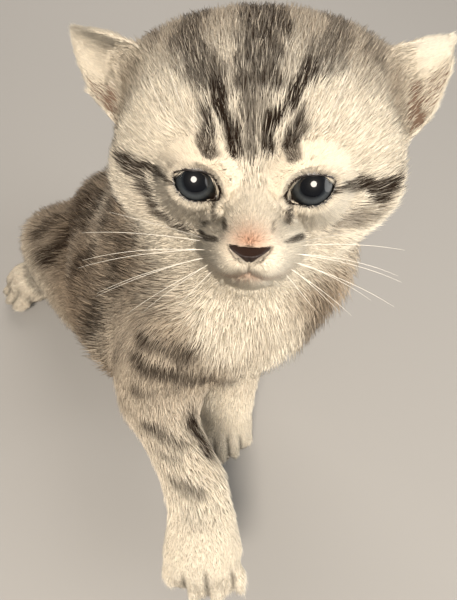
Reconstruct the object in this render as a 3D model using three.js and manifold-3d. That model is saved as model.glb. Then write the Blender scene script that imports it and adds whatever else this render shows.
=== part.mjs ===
// A young tabby kitten at life size, out to the tips of its coat. It crouches on its hind legs
// and left forepaw, lifts the right forepaw in a step and turns its head to its right.
// Millimetres. +Z is up, the trunk faces -Y and the kitten's left side is at +X.
import * as THREE from 'three';
import { mergeVertices } from 'three/addons/utils/BufferGeometryUtils.js';
import Module from 'manifold-3d';

const wasm = await Module();
wasm.setup();

const at = (x, y, z) => new THREE.Vector3(x, y, z);
const { clamp, lerp, degToRad } = THREE.MathUtils;

// ---------------------------------------------------------------- driving sizes

const GAP = 0.35;

const EYE_SPACING = 26.6;
const EYEBALL = { radius: 6.5, depth: 5.5, drop: 4 };
const SKULL = { width: 68, length: 55, height: 44 };
const CHEEK = { reach: 39, drop: 11 };
const MUZZLE_LENGTH = 11;
const NOSE = { width: 8.8, height: 4.6, depth: 5.4, drop: 12 };
const EAR = { width: 21.6, length: 21.5, thickness: 1.8, cup: 8 };

const CHEST = { centre: at(9, -38, 77), radii: at(33, 32, 27), yaw: -30 };
const RUFF = { centre: at(21.5, -45.5, 89.5), radii: at(27.2, 25, 17), yaw: -30 };
const WITHERS = { centre: at(10, -10, 86), radii: at(26, 26, 20), yaw: 0 };
const LOIN = { centre: at(9, 18, 59), radii: at(26, 32, 22), yaw: 0 };
const BELLY = { centre: at(-4.5, -11, 49), radii: at(34.5, 39, 28), yaw: -6 };
const RUMP = { centre: at(12, 42, 36), radii: at(25, 28, 26), yaw: 0 };
const NECK = { low: at(12, -34, 88), high: at(25, -30, 106), radius: 25 };
const TAIL = { root: 8, tip: 4 };

// Where the eyes look from: the midpoint between the eyes, and the turn of the head about it.
const HEAD_PLACE = at(6, -50, 127.7);
const HEAD_TURN = { yaw: -44.5, lift: -5, roll: -0.9 };

// ---------------------------------------------------------------- fields of distance

/** A ball swept from one point to another while its radius changes. */
function limb(from, to, fromRadius, toRadius = fromRadius) {
  const axis = to.clone().sub(from);
  const span = axis.lengthSq();
  const foot = new THREE.Vector3();
  return (point) => {
    const share = clamp(foot.copy(point).sub(from).dot(axis) / span, 0, 1);
    foot.copy(from).addScaledVector(axis, share);
    return point.distanceTo(foot) - lerp(fromRadius, toRadius, share);
  };
}

/** An ellipsoid about a centre, turned by Euler angles in degrees. */
function mass(centre, radii, turn = [0, 0, 0]) {
  const [rx, ry, rz] = turn.map(degToRad);
  const back = new THREE.Quaternion().setFromEuler(new THREE.Euler(rx, ry, rz)).invert();
  const local = new THREE.Vector3();
  const scaled = new THREE.Vector3();
  return (point) => {
    local.copy(point).sub(centre).applyQuaternion(back);
    const near = scaled.copy(local).divide(radii).length();
    const slope = scaled.divide(radii).length();
    return slope > 0 ? near * (near - 1) / slope : -Math.min(radii.x, radii.y, radii.z);
  };
}

/** The union of fields with every crease rounded over the given reach. */
function blend(reach, ...fields) {
  return (point) => fields.slice(1).reduce((low, field) => {
    const next = field(point);
    const share = Math.max(reach - Math.abs(low - next), 0) / reach;
    return Math.min(low, next) - share * share * reach / 4;
  }, fields[0](point));
}

/** A field with others hollowed out of it, their rims rounded over the given reach. */
function hollow(reach, field, ...cavities) {
  return (point) => cavities.reduce((deep, cavity) => {
    const next = -cavity(point);
    const share = Math.max(reach - Math.abs(deep - next), 0) / reach;
    return Math.max(deep, next) + share * share * reach / 4;
  }, field(point));
}

/** A field that ends where its own core, grown by the given margin, ends. */
const within = (margin, core, field) => (point) => Math.max(field(point), core(point) - margin);

/** A field given in a frame of its own, such as the head's, as one in the body's frame. */
function placed(field, frame) {
  const back = frame.clone().invert();
  const local = new THREE.Vector3();
  return (point) => field(local.copy(point).applyMatrix4(back));
}

// ---------------------------------------------------------------- skins round a field

const MARCH_STEP = 0.8;
const BISECTIONS = 12;

/** How far a ray leaves the field's inside, at the given level, within reach. */
function rayLength(field, origin, direction, reach, level) {
  const probe = new THREE.Vector3();
  const outside = (length) => field(probe.copy(origin).addScaledVector(direction, length)) > level;
  let far = MARCH_STEP;
  while (far < reach && !outside(far)) far += MARCH_STEP;
  let near = far - MARCH_STEP;
  for (let pass = 0; pass < BISECTIONS; pass++) {
    const middle = (near + far) / 2;
    if (outside(middle)) far = middle;
    else near = middle;
  }
  return far;
}

/**
 * Draws a sphere's mesh round a field: its rings follow a curve through the limb, and its
 * poles close the two ends as domes of capRings rings each.
 */
function wrap(field, curve, { around, along, capRings, reach, level = 0, side = at(1, 0, 0) }) {
  const geometry = closed(new THREE.SphereGeometry(1, around, along));
  const places = geometry.attributes.position;
  const origin = new THREE.Vector3();
  const tangent = new THREE.Vector3();
  const upward = new THREE.Vector3();
  const across = new THREE.Vector3();
  const direction = new THREE.Vector3();
  for (let index = 0; index < places.count; index++) {
    direction.fromBufferAttribute(places, index);
    const ring = Math.acos(clamp(direction.y, -1, 1)) / Math.PI * along;
    const turn = Math.atan2(direction.z, direction.x);
    const fromEnd = Math.min(ring, along - ring);
    const share = clamp((ring - capRings) / (along - 2 * capRings), 0, 1);
    const tilt = Math.max(1 - fromEnd / capRings, 0) * Math.PI / 2 * (ring < along / 2 ? -1 : 1);
    curve.getPointAt(share, origin);
    curve.getTangentAt(share, tangent);
    upward.crossVectors(tangent, side).normalize();
    across.crossVectors(upward, tangent).normalize();
    direction.copy(across).multiplyScalar(Math.cos(turn) * Math.cos(tilt));
    direction.addScaledVector(upward, Math.sin(turn) * Math.cos(tilt));
    direction.addScaledVector(tangent, Math.sin(tilt));
    const length = rayLength(field, origin, direction, reach, level);
    places.setXYZ(index, ...origin.addScaledVector(direction, length).toArray());
  }
  return solid(geometry);
}

const path = (...points) => new THREE.CatmullRomCurve3(points, false, 'centripetal');

// ---------------------------------------------------------------- solids

/** A geometry whose faces share their corners, with only its positions kept. */
function closed(geometry) {
  geometry.deleteAttribute('normal');
  geometry.deleteAttribute('uv');
  return mergeVertices(geometry, 1e-5);
}

/** A closed geometry as a solid, turned inside out where its faces point inwards. */
function solid(geometry) {
  const { index, attributes } = geometry;
  const triVerts = new Uint32Array(index.array);
  if (enclosed(attributes.position, triVerts) < 0) {
    for (let first = 0; first < triVerts.length; first += 3) {
      [triVerts[first + 1], triVerts[first + 2]] = [triVerts[first + 2], triVerts[first + 1]];
    }
  }
  const vertProperties = new Float32Array(attributes.position.array);
  return new wasm.Manifold(new wasm.Mesh({ numProp: 3, vertProperties, triVerts }));
}

/** Six times the signed volume inside a list of triangles. */
function enclosed(places, corners) {
  const [a, b, c] = [new THREE.Vector3(), new THREE.Vector3(), new THREE.Vector3()];
  let sum = 0;
  for (let first = 0; first < corners.length; first += 3) {
    a.fromBufferAttribute(places, corners[first]);
    b.fromBufferAttribute(places, corners[first + 1]);
    c.fromBufferAttribute(places, corners[first + 2]);
    sum += a.dot(b.cross(c));
  }
  return sum;
}

/** The largest single body of a cut solid. */
function largest(shape) {
  return shape.decompose().reduce((best, piece) => (piece.volume() > best.volume() ? piece : best));
}

/** A sphere stretched to an ellipsoid, turned about Z and moved to its centre. */
function pebble(centre, radii, yaw, around = 10, along = 7) {
  const ball = new THREE.SphereGeometry(1, around, along).scale(...radii.toArray());
  return solid(closed(ball.rotateZ(yaw).translate(...centre.toArray())));
}

/** Everything on the side of a plane that its normal points to, moved along it by a shift. */
function halfSpace({ point, normal }, shift = 0) {
  const size = 500;
  const outward = normal.clone().normalize();
  const turn = new THREE.Quaternion().setFromUnitVectors(at(0, 0, 1), outward);
  const box = new THREE.BoxGeometry(size, size, size).translate(0, 0, size / 2 + shift);
  return solid(closed(box.applyQuaternion(turn).translate(...point.toArray())));
}

// ---------------------------------------------------------------- the kitten's masses

const body = ({ centre, radii, yaw }) => mass(centre, radii, [0, 0, yaw]);
const trunkMass = blend(16, body(CHEST), body(WITHERS), body(BELLY), body(LOIN), body(RUMP));
const neckMass = blend(10, limb(NECK.low, NECK.high, NECK.radius), body(RUFF));

// The head has a frame of its own: its origin is between the eyes, its face looks along -Y.
const headGroup = new THREE.Group();
headGroup.position.copy(HEAD_PLACE);
headGroup.rotation.set(...[HEAD_TURN.lift, HEAD_TURN.roll, HEAD_TURN.yaw].map(degToRad), 'ZXY');
headGroup.updateMatrix();
const headFrame = headGroup.matrix;
const inHead = (x, y, z) => at(x, y, z).applyMatrix4(headFrame);
const alongHead = (x, y, z) => at(x, y, z).transformDirection(headFrame);

const eyeCentre = (side) => at(side * EYE_SPACING / 2, EYEBALL.depth, -EYEBALL.drop);
const cheek = (side) => mass(at(side * (CHEEK.reach - 19), 19, -CHEEK.drop), at(19, 18, 16));
const brow = (side) => mass(at(side * 11, 9, 7), at(10, 9, 7));
const whiskerPad = (side) => mass(at(side * 5.2, -2.6, -16.5), at(7, 6.6, 6));
const orbit = (side) => mass(at(side * (EYE_SPACING / 2 + 0.5), -2.5, -2.5), at(7.5, 5.5, 5.5));

const headMass = placed(
  hollow(
    3,
    blend(
      7,
      mass(at(0, 27, 0), at(SKULL.width / 2, SKULL.length / 2, SKULL.height / 2)),
      mass(at(0, 36, 7), at(36, 17, 14.3)),
      cheek(-1),
      cheek(1),
      brow(-1),
      brow(1),
      mass(at(0, 5, -14), at(14, 13, 11)),
      limb(at(0, 8, 1), at(0, -3.8, -10), 6, 4.4),
      whiskerPad(-1),
      whiskerPad(1),
      mass(at(0, -0.5, -22), at(7, 6.2, 5)),
    ),
    orbit(-1),
    orbit(1),
  ),
  headFrame,
);

// ---------------------------------------------------------------- parting

const NODE_MARGIN = 4;

// Flat cuts across the throat and the root of the neck; each normal points up towards the head.
const THROAT_CUT = { point: inHead(0, 12, -29), normal: alongHead(0, -0.35, 0.94) };
const COLLAR_CUT = { point: at(12, -34, 95), normal: at(0.28, -0.42, 0.86) };

/** A limb's mass, blended into its neighbours, and the larger one that is cut out of them. */
function part(own, neighbours, curve, mesh) {
  const merged = within(NODE_MARGIN + 3, own, blend(9, own, ...neighbours));
  const grown = (margin) => wrap(own, curve, { ...mesh, level: margin });
  return {
    shape: wrap(merged, curve, mesh).intersect(grown(NODE_MARGIN)),
    cutter: grown(NODE_MARGIN + GAP),
  };
}

// ---------------------------------------------------------------- legs

const FORELEG = { shoulder: 14, elbow: 11.7, wrist: 10.2, paw: 11.2 };
const HINDLEG = { hip: 19, knee: 16.5, hock: 9.5, paw: 11 };

const RIGHT_FORELEG = {
  shoulder: at(-18.5, -40, 69),
  elbow: at(-26.3, -42, 53.5),
  wrist: at(-33.4, -75, 38),
  paw: at(-42, -86.3, 31),
  heading: at(-0.55, -0.84, 0),
  toe: { radius: 4.2, spread: 1.12, outward: -1 },
};
const LEFT_FORELEG = {
  shoulder: at(29, -43, 68),
  elbow: at(20, -40, 46),
  wrist: at(0.5, -48, 21),
  paw: at(-7, -54.5, 7.5),
  heading: at(-0.5, -0.85, 0),
  toe: { radius: 3.8, spread: 0.98, outward: 1 },
};
// The right hind foot is splayed out to the side; the left one is tucked forward under the knee.
const RIGHT_HINDLEG = {
  hip: at(-14, 58, 31),
  knee: at(-18.5, 20, 29),
  hock: at(-24, 65, 12),
  paw: at(-34.5, 67.5, 8),
  heading: at(-1, 0.05, 0),
  toe: { radius: 4.2, spread: 1, outward: -1 },
};
const LEFT_HINDLEG = {
  hip: at(24, 50, 34),
  knee: at(30, 24, 27),
  hock: at(31, 56, 12),
  paw: at(34, 34, 7),
  heading: at(0.12, -1, 0),
  toe: { radius: 4, spread: 0.95, outward: 1 },
};

const headingYaw = (heading) => Math.atan2(heading.x, -heading.y);

/** The flat oval pad under a foot, turned to its heading. */
function pad({ paw, heading, toe }, width) {
  const radii = at(width * toe.spread, width * 0.9, width * 0.76);
  return mass(paw, radii, [0, 0, THREE.MathUtils.radToDeg(headingYaw(heading))]);
}

/** Four toes in a fan round the front of a paw, the one on its outer side set furthest back. */
function toes({ paw, heading, toe }) {
  const yaw = headingYaw(heading);
  const sideways = at(Math.cos(yaw), Math.sin(yaw), 0);
  const forward = at(Math.sin(yaw), -Math.cos(yaw), 0);
  return [-1.5, -0.5, 0.5, 1.5].map((slot) => {
    const place = paw.clone();
    place.addScaledVector(sideways, slot * toe.radius * 1.4 * toe.spread);
    place.addScaledVector(forward, toe.radius * (2.2 - 0.34 * slot * (slot + toe.outward)));
    place.z -= 2;
    return pebble(place, at(toe.radius, toe.radius * 1.3, toe.radius), yaw + slot * 0.14, 8, 5);
  });
}

const withToes = (leg, plan) => toes(plan).reduce((shape, toe) => shape.add(toe), leg);

function foreleg(plan) {
  const { shoulder, elbow, wrist, paw } = plan;
  const own = blend(
    8,
    limb(shoulder, elbow, FORELEG.shoulder, FORELEG.elbow),
    limb(elbow, wrist, FORELEG.elbow, FORELEG.wrist),
    limb(wrist, paw, FORELEG.wrist - 1),
    pad(plan, FORELEG.paw),
  );
  const bend = elbow.clone().lerp(wrist, 0.3);
  const curve = path(shoulder, elbow.clone().lerp(shoulder, 0.3), bend, wrist, paw);
  const leg = part(own, [trunkMass], curve, { around: 14, along: 15, capRings: 4, reach: 24 });
  return { shape: withToes(leg.shape, plan), cutter: leg.cutter };
}

function hindleg(plan) {
  const { hip, knee, hock, paw } = plan;
  const ham = blend(
    9,
    limb(hip, knee, HINDLEG.hip, HINDLEG.knee),
    limb(knee, hock, HINDLEG.knee * 0.75, HINDLEG.hock),
  );
  const mesh = { around: 14, along: 12, capRings: 4, reach: 36 };
  const haunch = part(ham, [trunkMass], path(hip, knee), mesh);
  const sole = blend(6, limb(hock, paw, HINDLEG.hock, HINDLEG.paw * 0.85), pad(plan, HINDLEG.paw));
  const foot = (level) => wrap(
    sole, path(hock, paw), { around: 11, along: 9, capRings: 3, reach: 20, level },
  );
  return { shape: withToes(haunch.shape.add(foot(0)), plan), cutter: haunch.cutter.add(foot(GAP)) };
}

// ---------------------------------------------------------------- tail

function tailPart() {
  const curve = path(at(16, 60, 24), at(22, 76, 12), at(34, 82, 6), at(47, 74, 4.5), at(52, 58, 4));
  const links = 12;
  const place = (link) => curve.getPointAt(link / links);
  const width = (link) => lerp(TAIL.root, TAIL.tip, link / links);
  const chain = Array.from({ length: links }, (_, link) => (
    limb(place(link), place(link + 1), width(link), width(link + 1))
  ));
  const mesh = { around: 9, along: 15, capRings: 2, reach: 16, side: at(0, 0, 1) };
  return part(blend(2, ...chain), [trunkMass], curve, mesh);
}

// ---------------------------------------------------------------- eyes, nose and ears
// These are drawn in the head's own frame.

const eyeball = (side, grown) => pebble(
  eyeCentre(side), at(1, 1, 1).multiplyScalar(EYEBALL.radius + grown), 0, 14, 10,
);

function noseLeather(grown) {
  const radii = at(NOSE.width, NOSE.depth, NOSE.height).divideScalar(2).addScalar(grown);
  return pebble(at(0, NOSE.depth / 2 - MUZZLE_LENGTH, -NOSE.drop), radii, 0, 12, 8);
}

const EARS = {
  right: { root: at(-31, 24, 7), tip: at(-49, 34, 18.3), inner: at(-28, 25, 14.5) },
  left: { root: at(31, 23, 7.5), tip: at(43.5, 33, 16.5), inner: at(25, 27, 16) },
};

/** A cupped shell of even thickness, from its root inside the head to a rounded tip. */
function earShell({ root, tip, inner }) {
  const rise = tip.clone().sub(root).normalize();
  const across = root.clone().sub(inner).projectOnPlane(rise).normalize();
  const facing = new THREE.Vector3().crossVectors(across, rise).normalize();
  if (facing.y > 0) facing.negate();
  const geometry = closed(new THREE.BoxGeometry(2, 1, 1, 8, 7, 1));
  const places = geometry.attributes.position;
  for (let index = 0; index < places.count; index++) {
    const breadth = places.getX(index);
    const height = lerp(-0.3, 1, places.getY(index) + 0.5);
    const back = 0.5 - places.getZ(index);
    const above = Math.max(height, 0);
    const halfWidth = EAR.width / 2 * (1 - 0.72 * above ** 1.5);
    const cup = EAR.cup * (breadth ** 2 - 1) * (1 - 0.6 * above);
    const place = root.clone();
    place.addScaledVector(rise, EAR.length * height - 4 * above ** 2 * breadth ** 2);
    place.addScaledVector(across, halfWidth * breadth);
    place.addScaledVector(facing, cup - EAR.thickness * back);
    places.setXYZ(index, ...place.toArray());
  }
  return solid(geometry);
}

// ---------------------------------------------------------------- head, neck and trunk

const headCurve = path(inHead(0, 34, -3), inHead(0, 26, -4), inHead(0, 17, -7));
const headWhole = (level) => wrap(
  within(NODE_MARGIN + 3, headMass, blend(9, headMass, neckMass)),
  headCurve,
  { around: 33, along: 26, capRings: 11, reach: 60, level, side: alongHead(1, 0, 0) },
);
const neckWhole = wrap(
  blend(9, neckMass, headMass, trunkMass),
  path(NECK.low, NECK.high),
  { around: 22, along: 12, capRings: 4, reach: 45 },
);
const trunkWhole = wrap(
  blend(9, trunkMass, neckMass),
  path(RUMP.centre.clone().add(at(0, 4, 0)), BELLY.centre, CHEST.centre.clone().add(at(0, -4, 0))),
  { around: 22, along: 18, capRings: 5, reach: 60 },
);

// ---------------------------------------------------------------- assembly

const LIMBS = {
  foreleg_right: foreleg(RIGHT_FORELEG),
  foreleg_left: foreleg(LEFT_FORELEG),
  hindleg_right: hindleg(RIGHT_HINDLEG),
  hindleg_left: hindleg(LEFT_HINDLEG),
  tail: tailPart(),
};
const ground = halfSpace({ point: at(0, 0, 0), normal: at(0, 0, -1) });
const above = (cut) => halfSpace(cut, GAP / 2);
const below = ({ point, normal }) => halfSpace({ point, normal: normal.clone().negate() }, GAP / 2);

const toHead = headFrame.clone().invert();
const inHeadFrame = (shape) => shape.transform(toHead.toArray());
const nest = (shape, ...cutters) => largest(cutters.reduce((left, cutter) => left.subtract(cutter), shape));

const limbCutters = Object.values(LIMBS).map(({ cutter }) => cutter);
const headCutter = headWhole(GAP).intersect(halfSpace(THROAT_CUT, -GAP));
const trunk = nest(trunkWhole.intersect(below(COLLAR_CUT)), headCutter, ...limbCutters);
const collar = neckWhole.intersect(below(THROAT_CUT)).intersect(above(COLLAR_CUT));
const neck = nest(collar, ...limbCutters);
const head = nest(
  inHeadFrame(headWhole(0).intersect(above(THROAT_CUT))),
  eyeball(-1, GAP),
  eyeball(1, GAP),
  noseLeather(GAP),
);
const earBed = inHeadFrame(headWhole(GAP));

const COAT = { color: 0x8d8172, roughness: 0.95, metalness: 0 };
const PALE_COAT = { color: 0xd9cdb9, roughness: 0.95, metalness: 0 };
const LEATHER = { color: 0x4a302a, roughness: 0.55, metalness: 0 };
const EYE = { color: 0x20262e, roughness: 0.08, metalness: 0 };

/** A solid as a named mesh with a finish of its own. */
function node(name, shape, finish) {
  const { vertProperties, triVerts, numProp } = shape.getMesh();
  const geometry = new THREE.BufferGeometry();
  const buffer = new THREE.InterleavedBuffer(vertProperties, numProp);
  geometry.setAttribute('position', new THREE.InterleavedBufferAttribute(buffer, 3, 0));
  geometry.setIndex(new THREE.BufferAttribute(triVerts, 1));
  geometry.computeVertexNormals();
  const mesh = new THREE.Mesh(geometry, new THREE.MeshStandardMaterial(finish));
  mesh.name = name;
  return mesh;
}

headGroup.add(node('head', head, COAT));
headGroup.add(node('nose', noseLeather(0), LEATHER));
for (const [name, side] of [['right', -1], ['left', 1]]) {
  headGroup.add(node(`eye_${name}`, eyeball(side, 0), EYE));
  headGroup.add(node(`ear_${name}`, nest(earShell(EARS[name]), earBed), PALE_COAT));
}

const kitten = new THREE.Group();
kitten.add(headGroup);
kitten.add(node('neck', neck, COAT));
kitten.add(node('trunk', trunk, COAT));
const settled = [trunk, neck, ground];
for (const [name, { shape, cutter }] of Object.entries(LIMBS)) {
  kitten.add(node(name, nest(shape, ...settled), COAT));
  settled.push(cutter);
}

// The part's origin is the middle of its footprint, on the floor.
kitten.updateMatrixWorld(true);
const bounds = new THREE.Box3().setFromObject(kitten, true);
const middle = bounds.getCenter(new THREE.Vector3());
kitten.position.set(-middle.x, -middle.y, -bounds.min.z);

export default kitten;
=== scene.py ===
"""A young tabby kitten at life size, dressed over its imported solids.

One skin is drawn round the solids of flesh, smoothed, and taken in by the depth of the coat.
Fields on that skin say how the fur lies, how long it is and how it is marked. The skin's own
colours and every tuft of fur are read from the same fields.
"""
import math
from collections import namedtuple

import bmesh
import bpy
import numpy as np
from mathutils import Matrix, Vector
from mathutils.bvhtree import BVHTree
from mathutils.kdtree import KDTree


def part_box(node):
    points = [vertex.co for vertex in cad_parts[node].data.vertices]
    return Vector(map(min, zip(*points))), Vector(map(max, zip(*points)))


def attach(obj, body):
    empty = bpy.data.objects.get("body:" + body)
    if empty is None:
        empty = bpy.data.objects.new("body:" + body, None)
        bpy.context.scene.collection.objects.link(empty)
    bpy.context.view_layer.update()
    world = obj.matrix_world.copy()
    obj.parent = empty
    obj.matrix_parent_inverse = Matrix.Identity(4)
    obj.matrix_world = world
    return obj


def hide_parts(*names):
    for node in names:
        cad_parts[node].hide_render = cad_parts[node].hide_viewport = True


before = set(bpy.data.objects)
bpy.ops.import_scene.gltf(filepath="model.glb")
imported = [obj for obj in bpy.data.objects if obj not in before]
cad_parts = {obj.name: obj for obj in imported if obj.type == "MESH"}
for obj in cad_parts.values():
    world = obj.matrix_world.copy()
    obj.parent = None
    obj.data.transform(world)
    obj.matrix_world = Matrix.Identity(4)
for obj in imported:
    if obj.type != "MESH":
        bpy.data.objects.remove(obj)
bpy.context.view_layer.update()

MM = 0.001
chance = np.random.default_rng(4)

FLESH = (
    "trunk", "neck", "head", "foreleg_right", "foreleg_left",
    "hindleg_right", "hindleg_left", "tail", "ear_right", "ear_left",
)

# ---------------------------------------------------------------- small numbers

def unit(vectors):
    """Vectors, each as long as one."""
    length = np.linalg.norm(vectors, axis=-1, keepdims=True)
    return vectors / np.maximum(length, 1e-9)


def ease(low, high, value):
    """0 below low, 1 above high, with a smooth rise between."""
    share = np.clip((value - low) / (high - low), 0, 1)
    return share * share * (3 - 2 * share)


def blend(start, end, share):
    return start + (end - start) * share


def mottle(points, size, seed):
    """A smooth uneven field between about -1 and 1 whose patches are about size across."""
    waves = np.random.default_rng(seed)
    total = 0
    for _ in range(9):
        heading = unit(waves.normal(size=3))
        pitch = size * waves.uniform(1.2, 2.4)
        total = total + np.sin(points @ heading * (2 * math.pi / pitch) + waves.uniform(0, 6.3))
    return total / 3


def curve_through(points, count, closed=False):
    """A smooth curve through points, cut into count equal shares of its parameter."""
    points = np.asarray(points, float)
    last = len(points) if closed else len(points) - 1
    result = []
    for step in np.linspace(0, last, count, endpoint=not closed):
        first = min(int(step), last - 1)
        share = step - first
        if closed:
            a, b, c, d = (points[(first + shift) % len(points)] for shift in (-1, 0, 1, 2))
        else:
            a, b, c, d = (points[min(max(first + shift, 0), last)] for shift in (-1, 0, 1, 2))
        cubic = 2 * b + (c - a) * share + (2 * a - 5 * b + 4 * c - d) * share ** 2
        result.append((cubic + (3 * b - a - 3 * c + d) * share ** 3) / 2)
    return np.array(result)


def to_line(points, line):
    """How far points lie from a line of straight stretches."""
    best = np.full(len(points), 1e9)
    for start, end in zip(line[:-1], line[1:]):
        along = end - start
        share = np.clip((points - start) @ along / (along @ along), 0, 1)
        away = np.linalg.norm(points - start - share[:, None] * along, axis=1)
        best = np.minimum(best, away)
    return best


def mound(*gaps):
    """1 where every gap is 0, falling smoothly to 0 where one is well over 1."""
    return np.exp(-sum(gap ** 2 for gap in gaps))


def along_surface(vectors, normals):
    """The part of each vector that lies along the surface."""
    return vectors - normals * np.sum(vectors * normals, 1, keepdims=True)


# ---------------------------------------------------------------- places on the kitten

# The eyeball's radius, where the eyes lie from the head's origin, and the nose from the eyes.
EYEBALL = 6.5
EYE_BEHIND, EYE_BELOW = 5.5, 4
NOSE_AHEAD, NOSE_UNDER = 13.8, 8


def middle(node):
    low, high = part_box(node)
    return (np.array(low) + np.array(high)) / 2


def head_frame():
    """The head's origin, a little ahead of the eyes and above them, and its left, back and up."""
    eyes = (middle("eye_left") + middle("eye_right")) / 2
    left = unit(middle("eye_left") - middle("eye_right"))
    ahead = middle("nose") - eyes
    ahead = unit(ahead - left * (ahead @ left))
    crosswise = np.cross(left, ahead)
    dip = math.atan2(-NOSE_UNDER, -NOSE_AHEAD)
    back = math.cos(dip) * ahead - math.sin(dip) * crosswise
    up = math.sin(dip) * ahead + math.cos(dip) * crosswise
    return eyes + (EYE_BELOW * up - EYE_BEHIND * back) * MM, np.array([left, back, up])


HEAD, HEAD_AXES = head_frame()


def in_head(points):
    """Points of the row frame, in metres, as the head's own millimetres."""
    return (points - HEAD) @ HEAD_AXES.T / MM


def from_head(points):
    """The head's own millimetres as points of the row frame, in metres."""
    return np.asarray(points, float) @ HEAD_AXES * MM + HEAD


def share_of_box(node, shares):
    """Points given as shares of a node's box, in metres."""
    low, high = (np.array(corner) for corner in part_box(node))
    return low + np.asarray(shares) * (high - low)


# Each limb's bones from its root to its tip, as shares of its node's box.
LIMB_LINES = {
    "foreleg_right": [(0.68, 0.78, 0.73), (0.55, 0.76, 0.5), (0.42, 0.35, 0.27), (0.27, 0.21, 0.16)],
    "foreleg_left": [(0.77, 0.54, 0.79), (0.64, 0.61, 0.53), (0.34, 0.43, 0.24), (0.23, 0.28, 0.09)],
    "hindleg_right": [(0.61, 0.72, 0.59), (0.53, 0.26, 0.55), (0.44, 0.81, 0.23), (0.26, 0.84, 0.15)],
    "hindleg_left": [(0.47, 0.69, 0.6), (0.61, 0.3, 0.48), (0.63, 0.78, 0.21), (0.7, 0.45, 0.12)],
    "tail": [(0.21, 0.17, 0.79), (0.33, 0.66, 0.4), (0.57, 0.84, 0.2), (0.83, 0.6, 0.15), (0.93, 0.11, 0.13)],
}
LIMBS = {node: share_of_box(node, shares) for node, shares in LIMB_LINES.items()}
PAWS = {node: line[-1] for node, line in LIMBS.items() if node != "tail"}

# The way each paw points, and its three clefts' places between the toes, across it in millimetres.
TOE_CLEFTS = {
    "foreleg_right": ((-0.55, -0.84), (-6.3, 0.4, 8.3)),
    "foreleg_left": ((-0.5, -0.85), (-5.2, 0, 5.2)),
    "hindleg_right": ((-1, 0.05), (-5.8, 0, 5.8)),
    "hindleg_left": ((0.12, -1), (-5.3, 0, 5.3)),
}

# The place that the fur of the face lies away from, and the place that both eyes look at.
NOSE_TIP = np.array([0, -10.5, -11])
GAZE_POINT = from_head((1.7, -81.8, 58.2))

# ---------------------------------------------------------------- colours

def linear(code):
    """An sRGB hex colour as linear red, green, blue and alpha."""
    shades = [int(code[place:place + 2], 16) / 255 for place in (1, 3, 5)]
    return [*(s / 12.92 if s <= 0.04045 else ((s + 0.055) / 1.055) ** 2.4 for s in shades), 1.0]


CREAM = "#fbf1de"
WOOL = "#93795c"
STRIPE = "#2c1f14"
BLUSH = "#cf9a7c"
# The bare skin in the hollow of the ear: its own colour darkened by painted shade.
INNER_EAR_IN_SHADE = "#7a6250"
LID = "#170e0a"
LEATHER = "#1e0e08"
NOSTRIL = "#080302"
WHISKER_GREY = "#e9e2d2"
WHISKER_WHITE = "#fffaf0"


def add(tree, kind, links=None, **settings):
    """Adds a node with its settings. links maps its inputs to values or to other sockets."""
    made = tree.nodes.new(kind)
    for name, value in settings.items():
        setattr(made, name, value)
    for name, value in (links or {}).items():
        socket = made.inputs[name]
        if isinstance(value, bpy.types.NodeSocket):
            tree.links.new(value, socket)
        else:
            socket.default_value = value
    return made


def new_material(name):
    """An empty material and its shader and node tree."""
    material = bpy.data.materials.new(name)
    material.use_nodes = True
    tree = material.node_tree
    tree.nodes.clear()
    shader = add(tree, "ShaderNodeBsdfPrincipled")
    add(tree, "ShaderNodeOutputMaterial", {"Surface": shader.outputs["BSDF"]})
    return material, tree, shader


def field(tree, name):
    """The value of a field stored on the mesh."""
    return add(tree, "ShaderNodeAttribute", attribute_name=name).outputs["Fac"]


def mixed(tree, share, first, second, kind="MIX"):
    """One colour turned into another by a share."""
    links = {0: share, 6: first, 7: second}
    return add(tree, "ShaderNodeMix", links, data_type="RGBA", blend_type=kind).outputs[2]


def darkened(tree, colour, factor):
    """A colour times a factor."""
    return mixed(tree, 1.0, colour, factor, "MULTIPLY")


def product(tree, first, second):
    return add(tree, "ShaderNodeMath", {0: first, 1: second}, operation="MULTIPLY").outputs["Value"]


def ranged(tree, value, low, high):
    """A value from 0 to 1 carried over to the range from low to high."""
    links = {"Value": value, "To Min": low, "To Max": high}
    return add(tree, "ShaderNodeMapRange", links).outputs["Result"]


def place_on(tree):
    """The place on the object, in metres."""
    return add(tree, "ShaderNodeTexCoord").outputs["Object"]


def give_relief(tree, shader, height, strength, distance):
    """Gives a shader's surface a fine relief."""
    links = {"Height": height, "Strength": strength, "Distance": distance}
    relief = add(tree, "ShaderNodeBump", links)
    tree.links.new(relief.outputs["Normal"], shader.inputs["Normal"])


def coat_colour(tree):
    """Cream or woolly brown ground under dark stripes, blushed where thin, and in the ears' bare hollows a
    brown that is partly painted shade.
    """
    ground = mixed(tree, field(tree, "cream"), linear(WOOL), linear(CREAM))
    warm = mixed(tree, field(tree, "blush"), ground, linear(BLUSH))
    shaded = mixed(tree, field(tree, "inner"), warm, linear(INNER_EAR_IN_SHADE))
    return mixed(tree, field(tree, "stripe"), shaded, linear(STRIPE))


def fur_material():
    # Kitten fur: soft, nearly matt keratin, with painted shade darkening each tuft towards its root.
    material, tree, shader = new_material("tabby_fur")
    from_root = ranged(tree, field(tree, "along"), 0.68, 1.08)
    lit = product(tree, from_root, field(tree, "shade"))
    tree.links.new(darkened(tree, coat_colour(tree), lit), shader.inputs["Base Color"])
    shader.inputs["Roughness"].default_value = 0.7
    shader.inputs["IOR"].default_value = 1.55
    shader.inputs["Specular IOR Level"].default_value = 0.1
    return material


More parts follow.
